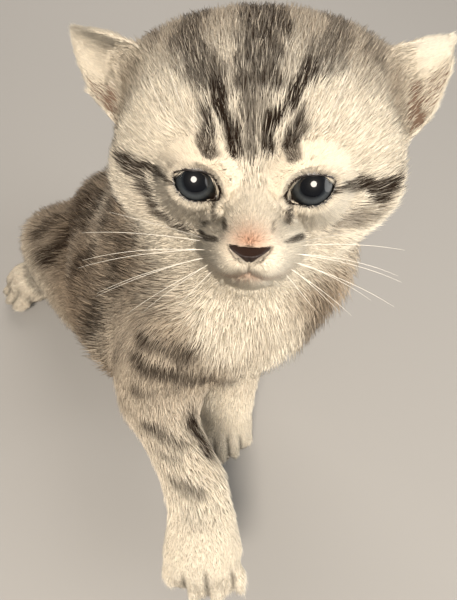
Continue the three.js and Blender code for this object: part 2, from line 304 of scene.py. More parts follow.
def skin_material():
    # Skin under the coat: the same markings, with the fine down that lies flat drawn as bump, and painted
    # shade in the creases between the toes.
    material, tree, shader = new_material("tabby_skin")
    noise = {"Vector": place_on(tree), "Scale": 1400, "Detail": 3}
    down = add(tree, "ShaderNodeTexNoise", noise).outputs["Fac"]
    downy = darkened(tree, coat_colour(tree), ranged(tree, down, 0.55, 0.95))
    # Painted shade: the skin darkens by up to half in the creases between the toes.
    colour = darkened(tree, downy, ranged(tree, field(tree, "crease"), 1.0, 0.5))
    rimmed = mixed(tree, field(tree, "lid"), colour, linear(LID))
    tree.links.new(rimmed, shader.inputs["Base Color"])
    give_relief(tree, shader, down, 0.35, 0.0003)
    tree.links.new(ranged(tree, field(tree, "lid"), 0.75, 0.3), shader.inputs["Roughness"])
    shader.inputs["Subsurface Weight"].default_value = 0.08
    shader.inputs["Subsurface Radius"].default_value = (0.002, 0.001, 0.0006)
    return material


def leather_material():
    # Nose leather: bare, damp skin with a fine cobbled grain about 0.25 mm across.
    material, tree, shader = new_material("nose_leather")
    cobbles = add(tree, "ShaderNodeTexVoronoi", {"Vector": place_on(tree), "Scale": 3500})
    colour = mixed(tree, field(tree, "nostril"), linear(LEATHER), linear(NOSTRIL))
    tree.links.new(colour, shader.inputs["Base Color"])
    give_relief(tree, shader, cobbles.outputs["Distance"], 0.5, 0.0002)
    shader.inputs["Roughness"].default_value = 0.5
    shader.inputs["Specular IOR Level"].default_value = 0.35
    shader.inputs["Coat Weight"].default_value = 0.12
    shader.inputs["Coat Roughness"].default_value = 0.3
    return material


# How far the iris and the pupil reach from the line of the gaze, and the colours out from it.
IRIS_TO = 4.35
PUPIL_TO = 2.65
IRIS_BANDS = (
    (0.0, "#000103"),
    (PUPIL_TO - 0.15, "#010206"),
    (PUPIL_TO + 0.2, "#12161a"),
    (3.3, "#282c2f"),
    (3.9, "#222527"),
    (IRIS_TO - 0.1, "#0e1012"),
    (IRIS_TO + 0.3, "#080706"),
    (5.6, "#1c110d"),
)


def eye_material():
    # A kitten's slate-blue eye: a wet cornea over a fibrous iris and a wide round pupil.
    material, tree, shader = new_material("wet_eye")
    fibre = add(tree, "ShaderNodeAttribute", attribute_name="fibre").outputs["Vector"]
    fibres = add(tree, "ShaderNodeTexNoise", {"Vector": fibre, "Scale": 5.0, "Detail": 4})
    reach = add(tree, "ShaderNodeMath", {0: field(tree, "from_gaze"), 1: EYEBALL}, operation="DIVIDE")
    ramp = add(tree, "ShaderNodeValToRGB", {"Fac": reach.outputs["Value"]})
    stops = ramp.color_ramp.elements
    while len(stops) < len(IRIS_BANDS):
        stops.new(0.5)
    for stop, (radius, code) in zip(stops, IRIS_BANDS):
        stop.position = radius / EYEBALL
        stop.color = linear(code)
    # Painted light and shade: the iris is brighter low on the eye and darker high up, where light through the
    # cornea and the brow's shadow fall.
    fibres_in_painted_light = product(tree, ranged(tree, fibres.outputs["Fac"], 0.6, 1.45), field(tree, "lower"))
    tree.links.new(darkened(tree, ramp.outputs["Color"], fibres_in_painted_light), shader.inputs["Base Color"])
    shader.inputs["Roughness"].default_value = 0.4
    shader.inputs["IOR"].default_value = 1.376
    shader.inputs["Specular IOR Level"].default_value = 0.1
    shader.inputs["Coat Weight"].default_value = 1.0
    shader.inputs["Coat Roughness"].default_value = 0.02
    shader.inputs["Coat IOR"].default_value = 1.38
    return material


def whisker_material():
    # Whiskers: stiff, smooth, nearly clear keratin that reads as white.
    material, tree, shader = new_material("whisker_keratin")
    cloud = add(tree, "ShaderNodeTexNoise", {"Vector": place_on(tree), "Scale": 300})
    colour = mixed(tree, cloud.outputs["Fac"], linear(WHISKER_GREY), linear(WHISKER_WHITE))
    tree.links.new(mixed(tree, field(tree, "stripe"), colour, linear(STRIPE)), shader.inputs["Base Color"])
    shader.inputs["Roughness"].default_value = 0.35
    return material


# ---------------------------------------------------------------- meshes as arrays

def read_mesh(mesh):
    """A mesh's points, edges and triangles as arrays."""
    points = np.empty(len(mesh.vertices) * 3)
    mesh.vertices.foreach_get("co", points)
    edges = np.empty(len(mesh.edges) * 2, int)
    mesh.edges.foreach_get("vertices", edges)
    mesh.calc_loop_triangles()
    corners = np.empty(len(mesh.loop_triangles) * 3, int)
    mesh.loop_triangles.foreach_get("vertices", corners)
    return points.reshape(-1, 3), edges.reshape(-1, 2), corners.reshape(-1, 3)


def normals_of(points, triangles):
    """The outward direction at each point."""
    a, b, c = (points[triangles[:, corner]] for corner in range(3))
    facing = np.cross(b - a, c - a)
    total = np.zeros_like(points)
    for axis in range(3):
        for corner in range(3):
            total[:, axis] += np.bincount(triangles[:, corner], facing[:, axis], len(points))
    return unit(total)


def averager(edges, count):
    """A function that gives each point the mean of a field over its neighbours."""
    ends = np.concatenate([edges[:, 0], edges[:, 1]])
    others = np.concatenate([edges[:, 1], edges[:, 0]])
    share = 1 / np.maximum(np.bincount(ends, minlength=count), 1)

    def averaged(values):
        if values.ndim == 1:
            return np.bincount(ends, values[others], count) * share
        return np.stack([averaged(column) for column in values.T], 1)

    return averaged


def placed(name, data):
    """A new object in the scene that shows the given data."""
    piece = bpy.data.objects.new(name, data)
    bpy.context.scene.collection.objects.link(piece)
    return piece


def mesh_from(work, name):
    """A bmesh as a mesh. The bmesh itself is used up."""
    mesh = bpy.data.meshes.new(name)
    work.to_mesh(mesh)
    work.free()
    return mesh


def add_rings(work, rings):
    """Adds rings of points to a bmesh, each joined to the next. Returns their vertices."""
    rows = [[work.verts.new(point) for point in ring] for ring in rings]
    for near, far in zip(rows[:-1], rows[1:]):
        for turn in range(len(near)):
            after = (turn + 1) % len(near)
            work.faces.new((near[turn], near[after], far[after], far[turn]))
    return rows


def finished(mesh, name, material, slot, *nodes):
    """A mesh as a smooth piece of the kitten that stands for the given nodes."""
    piece = placed(name, mesh)
    mesh.materials.append(material)
    mesh.polygons.foreach_set("use_smooth", np.ones(len(mesh.polygons), bool))
    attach(piece, "root")
    if nodes:
        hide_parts(*nodes)
    return piece


def store(mesh, **fields):
    """Keeps fields on a mesh's points, for its material to read."""
    for name, values in fields.items():
        kind = "FLOAT" if values.ndim == 1 else "FLOAT_VECTOR"
        key = "value" if values.ndim == 1 else "vector"
        layer = mesh.attributes.new(name, kind, "POINT")
        layer.data.foreach_set(key, values.astype(np.float32).ravel())


# ---------------------------------------------------------------- the skin's shape

# How far each solid is grown so that it meets its neighbours. The ears are thin and need more.
OVERLAP = 0.35
EAR_OVERLAP = 0.7
# How far the surface is grown to close the folds round the neck, and how widely that fades out.
FILLING = {node: 0.0 for node in FLESH} | {"trunk": 2.6, "neck": 4.0}
FILLING_SPREAD = 60
# The size of the faces of the skin, and of the plain form that is unwrapped.
FINE = 1.12 * MM
COARSE = 3.0 * MM


def joined_solids(nodes):
    """The named solids in one bmesh, each grown so that they run into one another."""
    whole = bmesh.new()
    for node in nodes:
        solid = bmesh.new()
        solid.from_mesh(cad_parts[node].data)
        bmesh.ops.remove_doubles(solid, verts=solid.verts, dist=1e-6)
        solid.normal_update()
        growth = EAR_OVERLAP if node.startswith("ear") else OVERLAP
        for vert in solid.verts:
            vert.co += vert.normal * growth * MM
        grown = mesh_from(solid, node)
        whole.from_mesh(grown)
        bpy.data.meshes.remove(grown)
    return whole


def wrapped(nodes, voxel):
    """One closed mesh round the named solids."""
    return remeshed(mesh_from(joined_solids(nodes), "solids"), voxel)


def remeshed(source, voxel):
    """The outside of a mesh in small even faces. The mesh itself is used up."""
    carrier = placed("source", source)
    remesh = carrier.modifiers.new("wrap", "REMESH")
    remesh.mode = "VOXEL"
    remesh.voxel_size = voxel
    seen = carrier.evaluated_get(bpy.context.evaluated_depsgraph_get())
    mesh = bpy.data.meshes.new_from_object(seen)
    bpy.data.objects.remove(carrier)
    bpy.data.meshes.remove(source)
    return mesh


def nearest_nodes(points):
    """For each point, the place in FLESH of the solid that lies nearest."""
    corners, faces, owners = [], [], []
    for owner, node in enumerate(FLESH):
        places, _, triangles = read_mesh(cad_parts[node].data)
        first = sum(len(part) for part in corners)
        corners.append(places)
        faces.append(triangles + first)
        owners.append(np.full(len(triangles), owner))
    owners = np.concatenate(owners)
    tree = BVHTree.FromPolygons(np.concatenate(corners).tolist(), np.concatenate(faces).tolist())
    return np.array([owners[tree.find_nearest(point)[2]] for point in points.tolist()])


# How many times the skin is smoothed over each solid, and at the paws.
SMOOTHING = {
    "trunk": 40, "neck": 30, "head": 7, "tail": 12, "ear_right": 10, "ear_left": 10,
    "foreleg_right": 14, "foreleg_left": 14, "hindleg_right": 16, "hindleg_left": 16,
}
PAW_SMOOTHING = 2
# How far a pass moves each point towards its neighbours' mean, and then back out.
SMOOTH_IN, SMOOTH_OUT = 0.6, -0.62
SHRINKING_STEPS = 8
# Where the body is thinner than THICK, the skin goes in by at most this share of its thickness.
THICK = 9.0
MOST_OF_THICKNESS = 0.3
# How many times a field is spread to soften the borders between solids, and a surface to even it.
BORDER_PASSES = 24
KIND_PASSES = 14
EVENING_PASSES = 8
# How strongly the skin is evened as it goes in, under deep fur and on the ears.
EVENING, EAR_EVENING = 0.5, 0.35
# How much the toes are raised, and how far from a paw's middle that ends and is whole.
TOES_RAISED = 0.9
TOE_REACH = (16, 12)
# The lowest that skin and fur come to the floor, and the height below which a sole is bare.
SKIN_OVER_FLOOR = 0.2 * MM
FUR_OVER_FLOOR = 0.3 * MM
SOLE = 0.6 * MM


def per_node(owners, values):
    """A value for each point from a table by node."""
    return np.array([values[node] for node in FLESH], float)[owners]


def from_paws(points):
    """How far each point is from the middle of the nearest paw, in millimetres."""
    return np.min([np.linalg.norm(points - paw, axis=1) for paw in PAWS.values()], axis=0) / MM


def settled_field(values, averaged, passes):
    """A field after it has been spread over its neighbours."""
    for _ in range(passes):
        values = averaged(values)
    return values


def filling_reach(owners, averaged):
    """How far the surface is grown at each point to close the folds between neck and trunk."""
    return settled_field(per_node(owners, FILLING), averaged, FILLING_SPREAD)


def folds_filled(mesh):
    """The mesh grown along its evened normals and wrapped again, so that narrow folds close."""
    points, edges, triangles = read_mesh(mesh)
    averaged = averager(edges, len(points))
    reach = filling_reach(nearest_nodes(points), averaged)
    even = settled_field(points, averaged, EVENING_PASSES)
    points = blend(points, even, ease(0, 1, reach)[:, None])
    points = points + normals_of(points, triangles) * (reach * MM)[:, None]
    mesh.vertices.foreach_set("co", points.ravel())
    mesh.update()
    return remeshed(mesh, FINE)


def smoothed_skin(points, edges, owners):
    """The points with each solid's facets smoothed away without shrinking its form."""
    averaged = averager(edges, len(points))
    passes = settled_field(per_node(owners, SMOOTHING), averaged, BORDER_PASSES)
    passes = blend(PAW_SMOOTHING, passes, ease(11, 18, from_paws(points)))
    for turn in range(int(passes.max())):
        ready = np.clip(passes - turn, 0, 1)[:, None]
        inward = (averaged(points) - points) * SMOOTH_IN * ready
        points = points + inward
        outward = (averaged(points) - points) * SMOOTH_OUT * ready
        points = points + outward
    return points


def thickness(points, triangles, normals):
    """How thick the body is inward from each point, in millimetres, up to THICK."""
    tree = BVHTree.FromPolygons(points.tolist(), triangles.tolist())
    found = np.full(len(points), THICK)
    starts = points - normals * 0.1 * MM
    for place, (start, inward) in enumerate(zip(starts.tolist(), (-normals).tolist())):
        gap = tree.ray_cast(start, inward, THICK * MM)[3]
        if gap is not None:
            found[place] = gap / MM
    return found


# ---------------------------------------------------------------- how deep the coat is

Coat = namedtuple("Coat", "depth length width crowd lift")
BODY_COAT = Coat(depth=4.2, length=8.5, width=0.28, crowd=1.7, lift=26)
LEG_COAT = Coat(depth=2.3, length=5.2, width=0.24, crowd=2.6, lift=20)
COATS = {
    "trunk": BODY_COAT,
    "neck": BODY_COAT,
    "head": Coat(depth=2.1, length=5.2, width=0.22, crowd=4.6, lift=20),
    "foreleg_right": LEG_COAT,
    "foreleg_left": LEG_COAT,
    "hindleg_right": LEG_COAT._replace(depth=2.8, length=7.0),
    "hindleg_left": LEG_COAT._replace(depth=2.8, length=7.0),
    "tail": Coat(depth=2.2, length=6.5, width=0.26, crowd=3.0, lift=22),
    "ear_right": Coat(depth=0.3, length=2.4, width=0.15, crowd=9, lift=20),
    "ear_left": Coat(depth=0.3, length=2.4, width=0.15, crowd=9, lift=20),
}
MUZZLE_COAT = Coat(depth=0.5, length=1.9, width=0.16, crowd=10, lift=28)
PAW_COAT = Coat(depth=0.6, length=2.0, width=0.18, crowd=8, lift=20)
LID_COAT = Coat(depth=0.4, length=2.9, width=0.16, crowd=11, lift=30)


def coat_fields(points, owners, averaged):
    """The coat's sizes at each point: long on the body, short towards the nose and the paws."""
    nearness = 1 - ease(3, 26, np.linalg.norm(in_head(points) - NOSE_TIP, axis=1))
    paw = 1 - ease(9, 22, from_paws(points))
    on_head = per_node(owners, {node: float(node == "head") for node in FLESH})
    fields = {}
    for name in Coat._fields:
        values = per_node(owners, {node: getattr(coat, name) for node, coat in COATS.items()})
        values = blend(values, getattr(MUZZLE_COAT, name), nearness * on_head)
        values = blend(values, getattr(PAW_COAT, name), paw)
        fields[name] = settled_field(values, averaged, BORDER_PASSES)
    return Coat(**fields)


# ---------------------------------------------------------------- how the coat lies

def limb_flow(points, line):
    """The direction of the nearest stretch of a limb, from its root to its tip."""
    stretches = line[1:] - line[:-1]
    gaps = np.stack([to_line(points, line[place:place + 2]) for place in range(len(stretches))], 1)
    nearness = 1 / (gaps / MM + 1) ** 3
    return unit(nearness @ unit(stretches))


# The places in the head that the fur of ears and neck lies away from, and how the neck's fur falls.
EAR_FAN = np.array([0, 14, 0])
NECK_FAN = from_head((0, 24, 0))
NECK_FALL = np.array([0, 0, -0.9])
BACK_LIE = np.array([0, 1, -0.35])
CHEST_LIE = np.array([-0.05, 0.1, -1])
THIGH_LIE = np.array([0, 0.3, -1])
LIE_PASSES = 20


def lie_of_coat(points, normals, owners, averaged):
    """The direction in which the fur lies: back from the nose, along the back and down the limbs."""
    local = in_head(points)
    chest = ease(-20, -52, points[:, 1] / MM)[:, None]
    thigh = ease(14, 30, from_paws(points))[:, None]
    flow = np.zeros_like(points)
    for owner, node in enumerate(FLESH):
        if node == "head":
            lie = unit(local - NOSE_TIP) @ HEAD_AXES
        elif node.startswith("ear"):
            lie = unit(local - EAR_FAN) @ HEAD_AXES
        elif node == "neck":
            lie = unit(unit(points - NECK_FAN) + NECK_FALL)
        elif node == "trunk":
            lie = unit(blend(BACK_LIE, CHEST_LIE, chest))
        elif node.startswith("hindleg"):
            lie = unit(blend(limb_flow(points, LIMBS[node]), THIGH_LIE, thigh))
        else:
            lie = limb_flow(points, LIMBS[node])
        own = owners == owner
        flow[own] = lie[own]
    for _ in range(LIE_PASSES):
        flow = along_surface(flow, normals)
        flow = unit(averaged(flow) + flow * 0.3)
    return unit(along_surface(flow, normals))


# ---------------------------------------------------------------- markings

# The head's marks are drawn on its round form: millimetres to the kitten's left, and degrees of
# rise from straight ahead over the crown. Each mark is its line, half its width and its strength.
HEAD_ARC = 24.0
HEAD_MARKS = {
    "brow_line_right": ([(-9, 58), (-8, 47), (-6, 38), (-4, 31), (-4, 20)], 2.0, 1.0),
    "brow_line_left": ([(11, 76), (9, 59), (6, 44), (3.5, 37), (2.5, 30), (2.5, 22)], 2.0, 1.0),
    "middle_line": ([(-3, 53), (-2, 42), (-1, 34), (-1, 16)], 1.3, 0.75),
    "middle_branch": ([(1.5, 50), (0.5, 42), (0.5, 33), (0.5, 24)], 1.1, 0.6),
    "over_eye_right": ([(-10.5, 40), (-9.8, 28), (-8.8, 16)], 1.6, 0.9),
    "over_eye_left": ([(9.5, 40), (8, 28), (7.5, 15)], 1.6, 0.9),
    "crown_middle": ([(0, 60), (0.5, 82), (0.5, 100), (0, 215)], 6.0, 0.85),
    "crown_right": ([(-10, 60), (-14, 80), (-17, 103), (-15, 160), (-12, 215)], 4.2, 0.8),
    "crown_left": ([(12, 76), (15, 92), (18, 106), (16, 160), (13, 215)], 4.4, 0.7),
    "nape_right": ([(-26, 112), (-27, 160), (-25, 205)], 3.4, 0.6),
    "nape_left": ([(26, 112), (27, 160), (25, 205)], 3.4, 0.6),
    "eye_line_right": ([(-19, -3), (-22, -2)], 0.6, 0.9),
    "eye_line_left": ([(19, -3.5), (22, -4)], 0.6, 0.9),
    "temple_right": ([(-22.5, -2), (-26, -3), (-29, -6), (-34, -16)], 2.0, 0.95),
    "temple_left": ([(22.5, -4.5), (27, -10), (30.5, -18), (34, -28)], 1.9, 0.95),
    "cheek_right": ([(-27, -14), (-24.5, -21), (-22, -27), (-18, -32)], 2.7, 0.85),
    "cheek_left_upper": ([(31, -22), (27, -24), (22, -24)], 1.9, 0.55),
    "cheek_left_lower": ([(31, -36), (26, -33), (20, -29)], 2.1, 0.55),
}

# The small marks of the muzzle, in the head's own millimetres.
MUZZLE_MARKS = {
    "tear_line_right": ([(-8, -1, -6), (-8.4, -3, -7), (-9.6, -3.6, -8.4), (-11.4, -3.2, -9.4)], 0.9, 0.8),
    "tear_spot_left": ([(8, -2, -6), (8.7, -3, -7)], 1.1, 0.9),
    "nose_spot_right": ([(-6, -5, -7), (-5.8, -6, -8)], 0.9, 0.8),
    "nose_spot_left": ([(5.2, -6, -6), (5.2, -7, -7.2)], 0.9, 0.7),
    "whisker_row_right": ([(-12, -4, -11), (-10, -6, -11), (-8, -7, -10.3)], 0.75, 0.85),
    "whisker_row_left": ([(11.5, -4, -11), (9.5, -6, -10.4), (8, -7, -10)], 0.75, 0.85),
    "whisker_row_under": ([(11, -5, -13.6), (8.5, -7, -13.4)], 0.5, 0.6),
}

# The body's marks lie on the coat, in millimetres of the row frame.
BODY_MARKS = {
    # The far side of the chest: its darker fur with the head's shadow painted over it.
    "chest_side_and_shadow": ([(15, -57, 92), (13, -61, 80), (10, -61, 70)], 5.0, 0.6),
    "shoulder_patch_high": ([(-31, -32, 82), (-28, -39, 82), (-24, -45, 80)], 3.4, 0.9),
    "shoulder_patch": ([(-35, -32, 77), (-33, -38, 75), (-29, -41, 76)], 3.6, 0.85),
    "shoulder_patch_low": ([(-27, -44, 74), (-22, -47, 70), (-18, -48, 64)], 3.2, 0.8),
    "upper_arm_band": ([(-39, -37, 66), (-36, -41, 66), (-30, -45, 67), (-22, -49, 67)], 2.6, 0.8),
    "elbow_patch": ([(-27, -53, 55), (-25, -56, 51), (-27, -60, 48)], 3.8, 1.0),
    "forearm_band_upper": ([(-42, -44, 57), (-39, -50, 57), (-35, -55, 56), (-30, -58, 54)], 2.0, 0.85),
    "forearm_band_middle": ([(-44, -49, 52), (-41, -55, 53), (-38, -58, 54)], 1.4, 0.7),
    "forearm_band_lower": ([(-45, -59, 48), (-42, -64, 50), (-38, -69, 49)], 2.0, 0.7),
    "forearm_spot": ([(-37, -74, 46), (-36, -76, 44)], 1.2, 0.45),
    "wrist_patch": ([(-46, -72, 45), (-43, -76, 45), (-39, -78, 43)], 2.3, 0.55),
    # The hip: its dark fur with painted shadow over it.
    "hip_patch_and_shadow": ([(-11, 34, 77), (-16, 42, 69), (-22, 50, 52), (-30, 51, 44)], 8.5, 0.95),
    "rump_patch": ([(-8, 60, 56), (-16, 63, 52), (-26, 66, 46)], 7.0, 0.85),
    "back_line": ([(8, -14, 108), (8, 12, 84), (8, 40, 66), (10, 62, 52)], 4.0, 0.9),
    "chest_elbow_left": ([(-9, -39, 38), (-6, -42, 36), (4, -44, 40)], 2.6, 0.6),
}
# The pale patch behind the shoulder, and how far apart the bands of the flanks are.
FLANK_LIGHT = [(-19, 14, 81), (-24, 3, 82), (-29, -5, 77), (-34, -11, 70), (-37, -18, 62), (-36, -22, 52)]
FLANK_PITCH = 19.0


def drawn(points, mark, wobble, core=0.6, edge=1.35):
    """How strongly a mark shows at each point, full to its core and gone past its edge."""
    line, half_width, strength = mark
    away = to_line(points, np.asarray(line, float))
    return strength * (1 - ease(core, edge, away / half_width + wobble))


def head_chart(local):
    """Where head points lie on the chart that its marks are drawn on, in millimetres."""
    rise = np.arctan2(local[:, 2], 22 - local[:, 1])
    rise = np.where(rise < -math.pi / 2, rise + 2 * math.pi, rise)
    return np.stack([local[:, 0], rise * HEAD_ARC], 1)


def head_markings(local):
    """The lines and spots of the head, and the grey over its crown."""
    chart = head_chart(local)
    chart = chart + 0.5 * np.stack([mottle(local, 5, 11), mottle(local, 5, 12)], 1)
    wobble = 0.22 * mottle(local, 3, 13)
    stripe = np.zeros(len(local))
    for line, half_width, strength in HEAD_MARKS.values():
        charted = [(left, math.radians(rise) * HEAD_ARC) for left, rise in line]
        stripe = np.maximum(stripe, drawn(chart, (charted, half_width, strength), wobble))
    for mark in MUZZLE_MARKS.values():
        stripe = np.maximum(stripe, drawn(local, mark, wobble))
    crown = ease(62, 92, np.degrees(chart[:, 1] / HEAD_ARC))
    return np.maximum(stripe, 0.3 * crown)


def body_markings(outer):
    """Bands round the flanks and haunches, with the drawn marks of the near side over them."""
    wobble = 0.35 * mottle(outer, 6, 21)
    stripe = np.zeros(len(outer))
    for mark in BODY_MARKS.values():
        stripe = np.maximum(stripe, drawn(outer, mark, wobble, 0.2, 1.6))
    along = outer[:, 1] + 0.25 * outer[:, 2] + 3.5 * mottle(outer, 26, 22)
    band = ease(0.05, 0.75, np.sin(2 * math.pi * (along - 8) / FLANK_PITCH))
    upper = ease(30, 62, outer[:, 2] + 6 * mottle(outer, 18, 23))
    behind = ease(-34, -18, outer[:, 1])
    bands = (0.35 + 0.45 * band) * upper * behind
    shoulder = ease(45, 62, outer[:, 2]) * ease(-46, -30, outer[:, 1])
    mottled = 0.35 * ease(-0.1, 0.6, mottle(outer, 9, 24)) * shoulder
    stripe = np.maximum(stripe, np.maximum(bands, mottled))
    light = 1 - ease(1.2, 5.5, to_line(outer, np.asarray(FLANK_LIGHT, float)))
    return stripe * (1 - 0.9 * light)


def tail_markings(outer):
    """Rings round the tail."""
    rings = np.sin(2 * math.pi * outer[:, 0] / 9 + mottle(outer, 12, 31))
    return 0.45 + 0.4 * ease(-0.2, 0.6, rings)


KINDS = {
    "head": ("head",),
    "ear": ("ear_right", "ear_left"),
    "leg": tuple(PAWS),
    "tail": ("tail",),
    "body": ("trunk", "neck"),
}


def shares_of_kinds(owners, averaged):
    """How far each point belongs to each kind of place, with soft borders between them."""
    shares = {}
    for kind, nodes in KINDS.items():
        own = np.isin(owners, [FLESH.index(node) for node in nodes]).astype(float)
        shares[kind] = settled_field(own, averaged, KIND_PASSES)
    return shares


def head_cream(local):
    """Cream over the face, turning greyer over the crown and down the nape, with painted shade over the
    brows.
    """
    crown = ease(70, 125, np.degrees(head_chart(local)[:, 1] / HEAD_ARC))
    aside, rise = np.abs(local[:, 0]), local[:, 2]
    under_eyes = mound((aside - 24) / 7, (rise + 10) / 4)
    # Painted shade: the brightly lit fur over the eyes is dimmed towards brown.
    painted_brow_shade = mound((aside - 12) / 9, (rise - 2) / 7) * (local[:, 1] < 10)
    return 0.97 - 0.42 * crown - 0.15 * under_eyes - 0.1 * painted_brow_shade + 0.06 * mottle(local, 6, 42)


def head_blush(local):
    """Thin warm fur over the bridge of the nose and on the lips."""
    x, y, z = local.T
    bridge = mound(x / 4.6, (y + 9) / 4, (z + 8.4) / 3.4)
    lips = mound(x / 6, (y + 8) / 4, (z + 18.3) / 1.7)
    return np.clip(0.8 * bridge + 0.75 * lips, 0, 1)


def chest_bib(body):
    """The pale front of the neck and chest."""
    front = ease(-24, -42, body[:, 1] + 3 * mottle(body, 12, 44))
    near = ease(-16, -5, body[:, 0] + 0.4 * (body[:, 2] - 62))
    far = ease(12, 1, body[:, 0] + 2 * mottle(body, 9, 45))
    return front * near * far


def markings(outer, kinds):
    """Stripe, cream and blush from 0 to 1, for places on the coat's surface."""
    local = in_head(outer)
    body = outer / MM
    paws = 1 - ease(12, 26, from_paws(outer))
    bib = chest_bib(body)
    banded = body_markings(body)
    # The haunch is darker: its own darker fur, partly painted shade.
    haunch = ease(10, 30, body[:, 1]) * ease(24, 44, body[:, 2])
    front = ease(30, 10, body[:, 1])
    flank = 0.34 + 0.16 * mottle(body, 14, 41)
    stripe = {
        "head": head_markings(local),
        "ear": np.zeros(len(outer)),
        "leg": banded * (1 - 0.8 * paws),
        "tail": tail_markings(body),
        "body": banded * (1 - 0.9 * bib),
    }
    cream = {
        "head": head_cream(local),
        "ear": np.ones(len(outer)),
        "leg": 0.5 - 0.25 * haunch + 0.36 * ease(58, 22, from_paws(outer)) + 0.2 * paws * front,
        "tail": 0.35 + 0.1 * mottle(body, 9, 43),
        "body": flank + 0.62 * bib + 0.35 * (1 - ease(14, 34, body[:, 2])),
    }
    whole = np.maximum(sum(kinds.values()), 1e-6)

    def over_kinds(values):
        return np.clip(sum(values[kind] * kinds[kind] for kind in KINDS) / whole, 0, 1)

    blush = head_blush(local) * kinds["head"] / whole
    return {"stripe": over_kinds(stripe), "cream": over_kinds(cream), "blush": blush}


# ---------------------------------------------------------------- eyes and lids

# The opening between the lids, in millimetres towards the nose and up, about the eyeball's centre.
LID_LINE = [
    (-4.8, 0.9), (-3.6, 1.6), (-1.5, 1.9), (1.3, 1.7), (3.6, 0.6), (4.9, -1.3),
    (5.5, -3.4), (3.1, -4.1), (0.2, -4.5), (-2.4, -3.7), (-4.3, -1.7),
]
# Each eye, with the sign that turns places towards the nose into places towards the left.
EYES = {"eye_right": 1, "eye_left": -1}
# The wet bead in the inner corner: its place, its radius and how far it lies along the gaze.
TEAR_CORNER = (4.9, -3.3)
BEAD = 1.25
BEAD_DEPTH = 2.3
# The lids' thickness, how far they reach, their points round the eye, their rings, and the radius
# within which they cover the face.
LID_THICK = 0.5
LID_REACH = 10.4
LID_AROUND = 80
LID_RINGS = 16
SOCKET = 8.4


def eye_frame(node):
    """An eyeball's centre, its directions towards the kitten's left, up and out along its gaze."""
    centre = middle(node)
    gaze = unit(GAZE_POINT - centre)
    left = unit(HEAD_AXES[0] - gaze * (HEAD_AXES[0] @ gaze))
    return centre, left, np.cross(gaze, left), gaze


def seen_from_gaze(points, node):
    """Points as millimetres across the gaze (left, up) and along it, from the eyeball's centre."""
    centre, left, up, gaze = eye_frame(node)
    offset = (points - centre) / MM
    return np.stack([offset @ left, offset @ up], 1), offset @ gaze


def from_gaze(across, depth, node):
    """Places given across and along the gaze, as points of the row frame in metres."""
    centre, left, up, gaze = eye_frame(node)
    return centre + (across[:, :1] * left + across[:, 1:] * up + depth[:, None] * gaze) * MM


def tear_corner(node):
    """The middle of the small wet bead in the inner corner of an eye."""
    x, y = TEAR_CORNER
    return from_gaze(np.array([[EYES[node] * x, y]]), np.array([BEAD_DEPTH]), node)[0]


def bridging_surface(points, node):
    """A smooth surface that carries the face over the eye's socket, as a function of place."""
    across, depth = seen_from_gaze(points, node)
    aside = np.linalg.norm(across, axis=1)
    near = (aside > SOCKET) & (aside < SOCKET + 4) & (depth > -6) & (depth < 14)

    def terms(place):
        x, y = place.T / 10
        return np.stack([np.ones_like(x), x, y, x * x, x * y, y * y, x ** 3, x * x * y, x * y * y, y ** 3], 1)

    factors = np.linalg.lstsq(terms(across[near]), depth[near], rcond=None)[0]
    return lambda place: terms(place) @ factors


def lid_ring(node, face, bridge):
    """One eye's lids as rings from behind the rim of the opening out to the face."""
    centre, _, _, gaze = eye_frame(node)
    rim = curve_through([(EYES[node] * x, y) for x, y in LID_LINE], LID_AROUND, closed=True)
    outer = unit(rim - np.array([0, -1.2])) * LID_REACH + np.array([0, -0.4])

    def ball_depth(across, radius):
        aside = np.linalg.norm(across, axis=1)
        turned = np.minimum(aside, EYEBALL - 0.75)
        return np.sqrt(radius ** 2 - turned ** 2) - 0.9 * (aside - turned)

    def face_depth(across):
        depths = bridge(across)
        for place, start in enumerate(from_gaze(across, np.full(len(across), 25.0), node)):
            hit = face.ray_cast(Vector(start), Vector(-gaze))[0]
            weight = ease(SOCKET, SOCKET + 1.5, np.linalg.norm(across[place]))
            if hit is not None and weight > 0:
                seen = (np.array(hit) - centre) @ gaze / MM
                depths[place] = blend(depths[place], seen, weight)
        return depths

    rings = [from_gaze(rim * 1.04, ball_depth(rim * 1.04, EYEBALL - 0.2), node)]
    rings.append(from_gaze(rim, ball_depth(rim, EYEBALL + 0.28), node))
    for step in range(LID_RINGS):
        share = (step / (LID_RINGS - 1)) ** 1.25
        across = rim * (1 + 0.05 * min(step, 1)) * (1 - share) + outer * share
        on_ball = ball_depth(across, EYEBALL + LID_THICK)
        on_face = face_depth(across)
        out = np.linalg.norm(across - rim, axis=1)
        fullness = np.clip(1 - np.abs(on_ball - on_face) / 2.4, 0, 1) ** 2 * 0.6
        carried = np.maximum(on_ball, on_face) + fullness
        depth = blend(on_ball, carried, ease(0.1, 2.6, out)) - 0.6 * ease(0.8, 1, share)
        rings.append(from_gaze(across, depth, node))
    rings = np.array(rings)
    return rings if EYES[node] == 1 else rings[:, ::-1]


def lids_mesh(rings, name):
    """The collar of a pair of lids as a mesh."""
    collar = bmesh.new()
    add_rings(collar, rings)
    return mesh_from(collar, name)


def sink_behind_lids(points, node):
    """Skin in front of an eye goes back behind the eyeball and under the lids."""
    across, depth = seen_from_gaze(points, node)
    aside = np.linalg.norm(across, axis=1)
    bridge = bridging_surface(points, node)
    behind_ball = np.sqrt(np.maximum((EYEBALL - 0.6) ** 2 - aside ** 2, 0))
    under_lids = bridge(across) - 1.2 * ease(SOCKET + 1.2, SOCKET - 0.6, aside)
    allowed = np.where(aside < EYEBALL, np.minimum(behind_ball, under_lids), under_lids)
    hidden = (depth > -2) & (depth < 16) & (aside < SOCKET + 1.2)
    sunk = np.where(hidden, np.minimum(depth, allowed), depth)
    return points + (sunk - depth)[:, None] * eye_frame(node)[3] * MM


